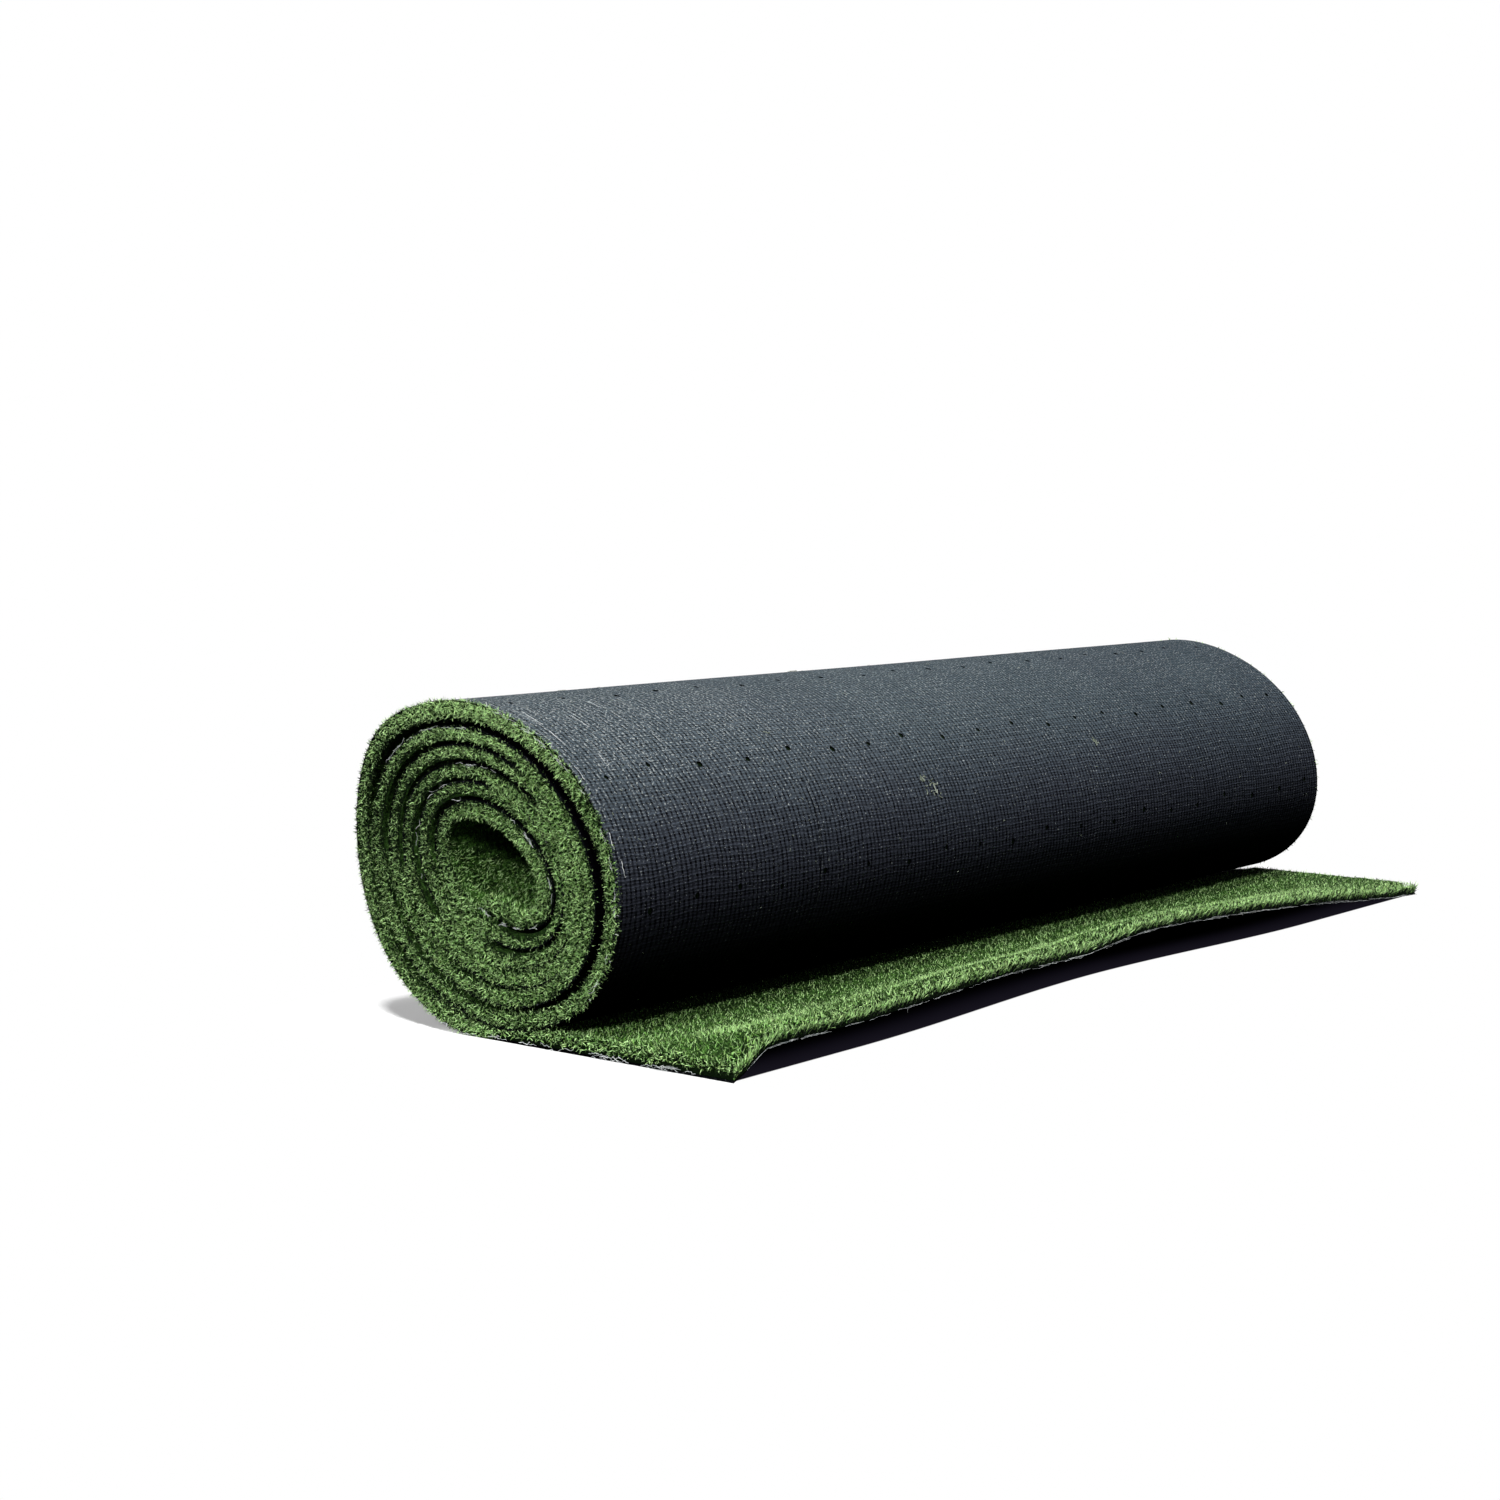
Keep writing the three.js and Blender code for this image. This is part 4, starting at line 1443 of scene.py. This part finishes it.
class TURF_OT_edge_blades(TurfOperator):
    """Scatter curled blades along the free edge, which lifts off the ground"""

    bl_idname = "turf.edge_blades"
    bl_label = "Blades on the free edge"

    def build(self, scene, sheet):
        s = scene.turf_pile
        gauge = scene.turf_backing.tuft_gauge / sheet.s.width
        tufts = np.arange(int(1 / gauge))
        middles = (tufts + 0.5) / len(tufts)
        shares = (middles[:, None] + gauge * np.array([-0.36, 0, 0.36])).ravel()
        step = np.full(len(shares), sheet.last, float)
        grow = sheet.to_pile(step, shares)
        out = np.stack([grow[:, 2], np.zeros(len(shares)), -grow[:, 0]], -1)
        depths = [sheet.foot + sheet.s.pile_height * part for part in (0.0, 0.16)]
        points = np.concatenate([sheet.points(step, shares, depth) - out * END_RECESS for depth in depths])
        faces = [face for face in grid_faces(2, len(shares)) if face[0] % 3 != 2]
        height = 1.08 + 0.07 * np.sin(2.7 * tufts) + 0.05 * np.sin(7.1 * tufts)
        height += 0.12 * (1 - smooth_step(middles, 0.03, 0.08))
        reach = np.outer(height, (0.84, 1.04, 0.84)).ravel()
        source = emitter(points, faces, np.tile(grow, (2, 1)), np.tile(out, (2, 1)), np.tile(reach, 2))
        Blades(s).cover(
            source, "free_edge_blades", "tall", s.edge_blades, 30,
            Stand=1.0, Spill=0.34, Spread=0.20, Shortest=0.7, Longest=1.0, Tuft_Lean=0.3, Tufts=110.0,
        )


class TURF_OT_threads(TurfOperator):
    """Fray the backing's cut edges"""

    bl_idname = "turf.threads"
    bl_label = "Frayed edges"

    def build(self, scene, sheet):
        s = scene.turf_backing
        strands = Strands(sheet, scene.turf_pile.seed + 40)
        draw = strands.random.uniform
        for seam in FRAYED_SEAMS:
            strands.fray(*seam)
        for _ in range(CURLS):
            strands.curl(draw(*CURLED_TURNS), draw(0.0014, 0.0034))
        for share, first, last in WARP_THREADS:
            middle = (first + last) / 2 * STEPS_PER_TURN
            reach = (last - first) * STEPS_PER_TURN * strands.gauge(middle)
            line = strands.over_sheet(middle, reach, share + strands.wave(0.0004, 12), WARP_DEPTH, 12)
            strands.add(line, 0.0003)
        for _ in range(EDGE_THREADS):
            strands.along_free_edge(draw(0, 0.98), draw(0.015, 0.055))
        for _ in range(HANGING_THREADS):
            strands.along_free_edge(draw(0, 0.98), draw(0.005, 0.012), draw(0.0012, 0.0035))
        strands.along_free_edge(*LONG_HANGING_THREAD)
        strands.spin("frayed_threads", thread_fibre("pale_thread", s.thread, s.soiled_thread), "backing")


class TURF_OT_fluff(TurfOperator):
    """Stick short fibres to the open side of the backing"""

    bl_idname = "turf.fluff"
    bl_label = "Fluff on the backing"

    def build(self, scene, sheet):
        s = scene.turf_backing
        strands = Strands(sheet, scene.turf_pile.seed + 50)
        draw = strands.random.uniform
        for fibre in STUCK_FIBRES:
            turns, shares = np.array(fibre).T
            strands.add(sheet.points(turns * STEPS_PER_TURN, shares, LINT_DEPTH), 0.0006)
        for place in LINT_TANGLES:
            strands.tangle(*place)
        for _ in range(s.fluff):
            turn = draw(4.95, 5.95) if draw(0, 1) < 0.35 else draw(5.3, 5.75)
            share, aside = draw(0.004, 0.996) ** 1.25, draw(-0.003, 0.003)
            shares = share + aside * np.linspace(-0.5, 0.5, 4)
            line = strands.over_sheet(turn * STEPS_PER_TURN, draw(0.001, 0.004), shares, SHORT_FIBRE_DEPTH, 4)
            strands.add(line, draw(0.0002, 0.0004))
        strands.spin("stuck_fibres", thread_fibre("stray_fibre", s.fibre, s.soiled_fibre), "pile")


class TURF_OT_stage(TurfOperator):
    """Lay the floor, hang the lights and set up the camera"""

    bl_idname = "turf.stage"
    bl_label = "Stage"

    def build(self, scene, sheet):
        s = scene.turf_stage
        self.floor(s, sheet.s.tail_length)
        self.lights(scene, s)
        camera = bpy.data.objects.new("camera", bpy.data.cameras.new("camera"))
        camera.data.sensor_width = 36
        camera.data.lens = s.lens
        camera.data.clip_end = 200
        camera.location = s.camera_place
        camera.rotation_euler = (math.pi / 2 - s.camera_pitch, 0, s.camera_yaw)
        scene.collection.objects.link(camera)
        scene.camera = camera
        scene.view_settings.view_transform = "Standard"

    @staticmethod
    def floor(s, tail_length):
        """A floor that looks pale but throws little light back up. Far from the roll it is plain white, and
        under the roll its shadow is painted.
        """
        size = s.floor_size
        corners = [(-size, -size, 0), (size, -size, 0), (size, size, 0), (-size, size, 0)]
        material, g, shader = new_material("pale_floor", Roughness=0.95, Specular_IOR_Level=0.0)
        seen = seen_by_camera_or_mirror(g)
        x, y, _ = g.parts(g.place())
        end_x, end_y = (float(value) for value in CAD_BOUNDS[1][:2])
        rests_at = end_x - tail_length
        away = ((x.size() - end_x).above(0.0) ** 2 + (y.size() - end_y).above(0.0) ** 2) ** 0.5

        # Under the roll and its lifted edge the floor's shadow is painted, black to dim, in a colour that no
        # lamp lights. Light reaches farthest in mid-roll, so the painted shadow stops short there.
        lifted_in = g.step((y + 0.08).size(), 0.65, 0.0) * 0.036 + 0.008
        past_edge = g.step(x - end_x + lifted_in, 0.0, 0.003) * g.step(y.size(), end_y, end_y - 0.002)
        painted_shadow = g.step(x, rests_at - 0.14, rests_at - 0.02) * g.step(away, 0.001, 0.0) * (1 - past_edge)
        lighter_shadow = g.step(x + lifted_in, rests_at + 0.33, end_x)
        feed(g, shader, Base_Color=g.mix(seen, s.bounce, s.floor))

        def glow(value):
            return g.add("ShaderNodeEmission", None, {"Color": opaque(value)})

        def blend(share, first, second):
            return g.add("ShaderNodeMixShader", None, {0: share, 1: first, 2: second})

        dim = blend(lighter_shadow, glow((0, 0, 0)), glow(s.under))
        plain_share = g.step(away, 0.0, s.shadow_reach).above(past_edge).above(painted_shadow) * seen
        out = blend(plain_share, Socket(g, shader.outputs[0]), blend(painted_shadow, glow((1, 1, 1)), dim))
        g.put(out, g.tree.nodes["Material Output"].inputs["Surface"])
        floor = new_object("floor", corners, [(0, 1, 2, 3)], material)
        floor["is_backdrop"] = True

    @staticmethod
    def lights(scene, s):
        world = bpy.data.worlds.new("studio")
        world.use_nodes = True
        g = Graph(world.node_tree)
        background = world.node_tree.nodes["Background"]
        background.inputs["Color"].default_value = (1, 1, 1, 1)
        g.put(seen_by_camera_or_mirror(g) * (1 - s.room_light) + s.room_light, background.inputs["Strength"])
        scene.world = world
        for name, energy, spread, way in (
            ("main", s.main_light, 8, (-0.18, 0.34, -0.92)),
            ("fill", s.fill_light, 6, (-0.30, 0.82, -0.49)),
            ("back", s.back_light, 60, (0.55, -0.60, -0.58)),
        ):
            lamp = bpy.data.objects.new(name, bpy.data.lights.new(name, "SUN"))
            lamp.data.energy = energy
            lamp.data.angle = math.radians(spread)
            lamp.rotation_euler = Vector(way).to_track_quat("-Z", "Y").to_euler()
            scene.collection.objects.link(lamp)


OPERATORS = (
    TURF_OT_stage,
    TURF_OT_backing,
    TURF_OT_pile,
    TURF_OT_end_blades,
    TURF_OT_top_blades,
    TURF_OT_edge_blades,
    TURF_OT_threads,
    TURF_OT_fluff,
)


class TURF_PT_panel(bpy.types.Panel):
    bl_idname = "TURF_PT_panel"
    bl_label = "Turf roll"
    bl_space_type = "VIEW_3D"
    bl_region_type = "UI"
    bl_category = "Turf roll"

    def draw(self, context):
        for operator in OPERATORS:
            self.layout.operator(operator.bl_idname)
        for group in GROUPS:
            box = self.layout.box()
            settings = getattr(context.scene, group)
            for key in settings.__annotations__:
                box.prop(settings, key)


def register():
    for name, group in GROUPS.items():
        bpy.utils.register_class(group)
        setattr(bpy.types.Scene, name, PointerProperty(type=group))
    for operator in OPERATORS:
        bpy.utils.register_class(operator)
    bpy.utils.register_class(TURF_PT_panel)


def unregister():
    bpy.utils.unregister_class(TURF_PT_panel)
    for operator in reversed(OPERATORS):
        bpy.utils.unregister_class(operator)
    for name, group in reversed(GROUPS.items()):
        delattr(bpy.types.Scene, name)
        bpy.utils.unregister_class(group)


def main():
    register()
    for operator in OPERATORS:
        module, name = operator.bl_idname.split(".")
        getattr(getattr(bpy.ops, module), name)()


if __name__ == "__main__":
    main()
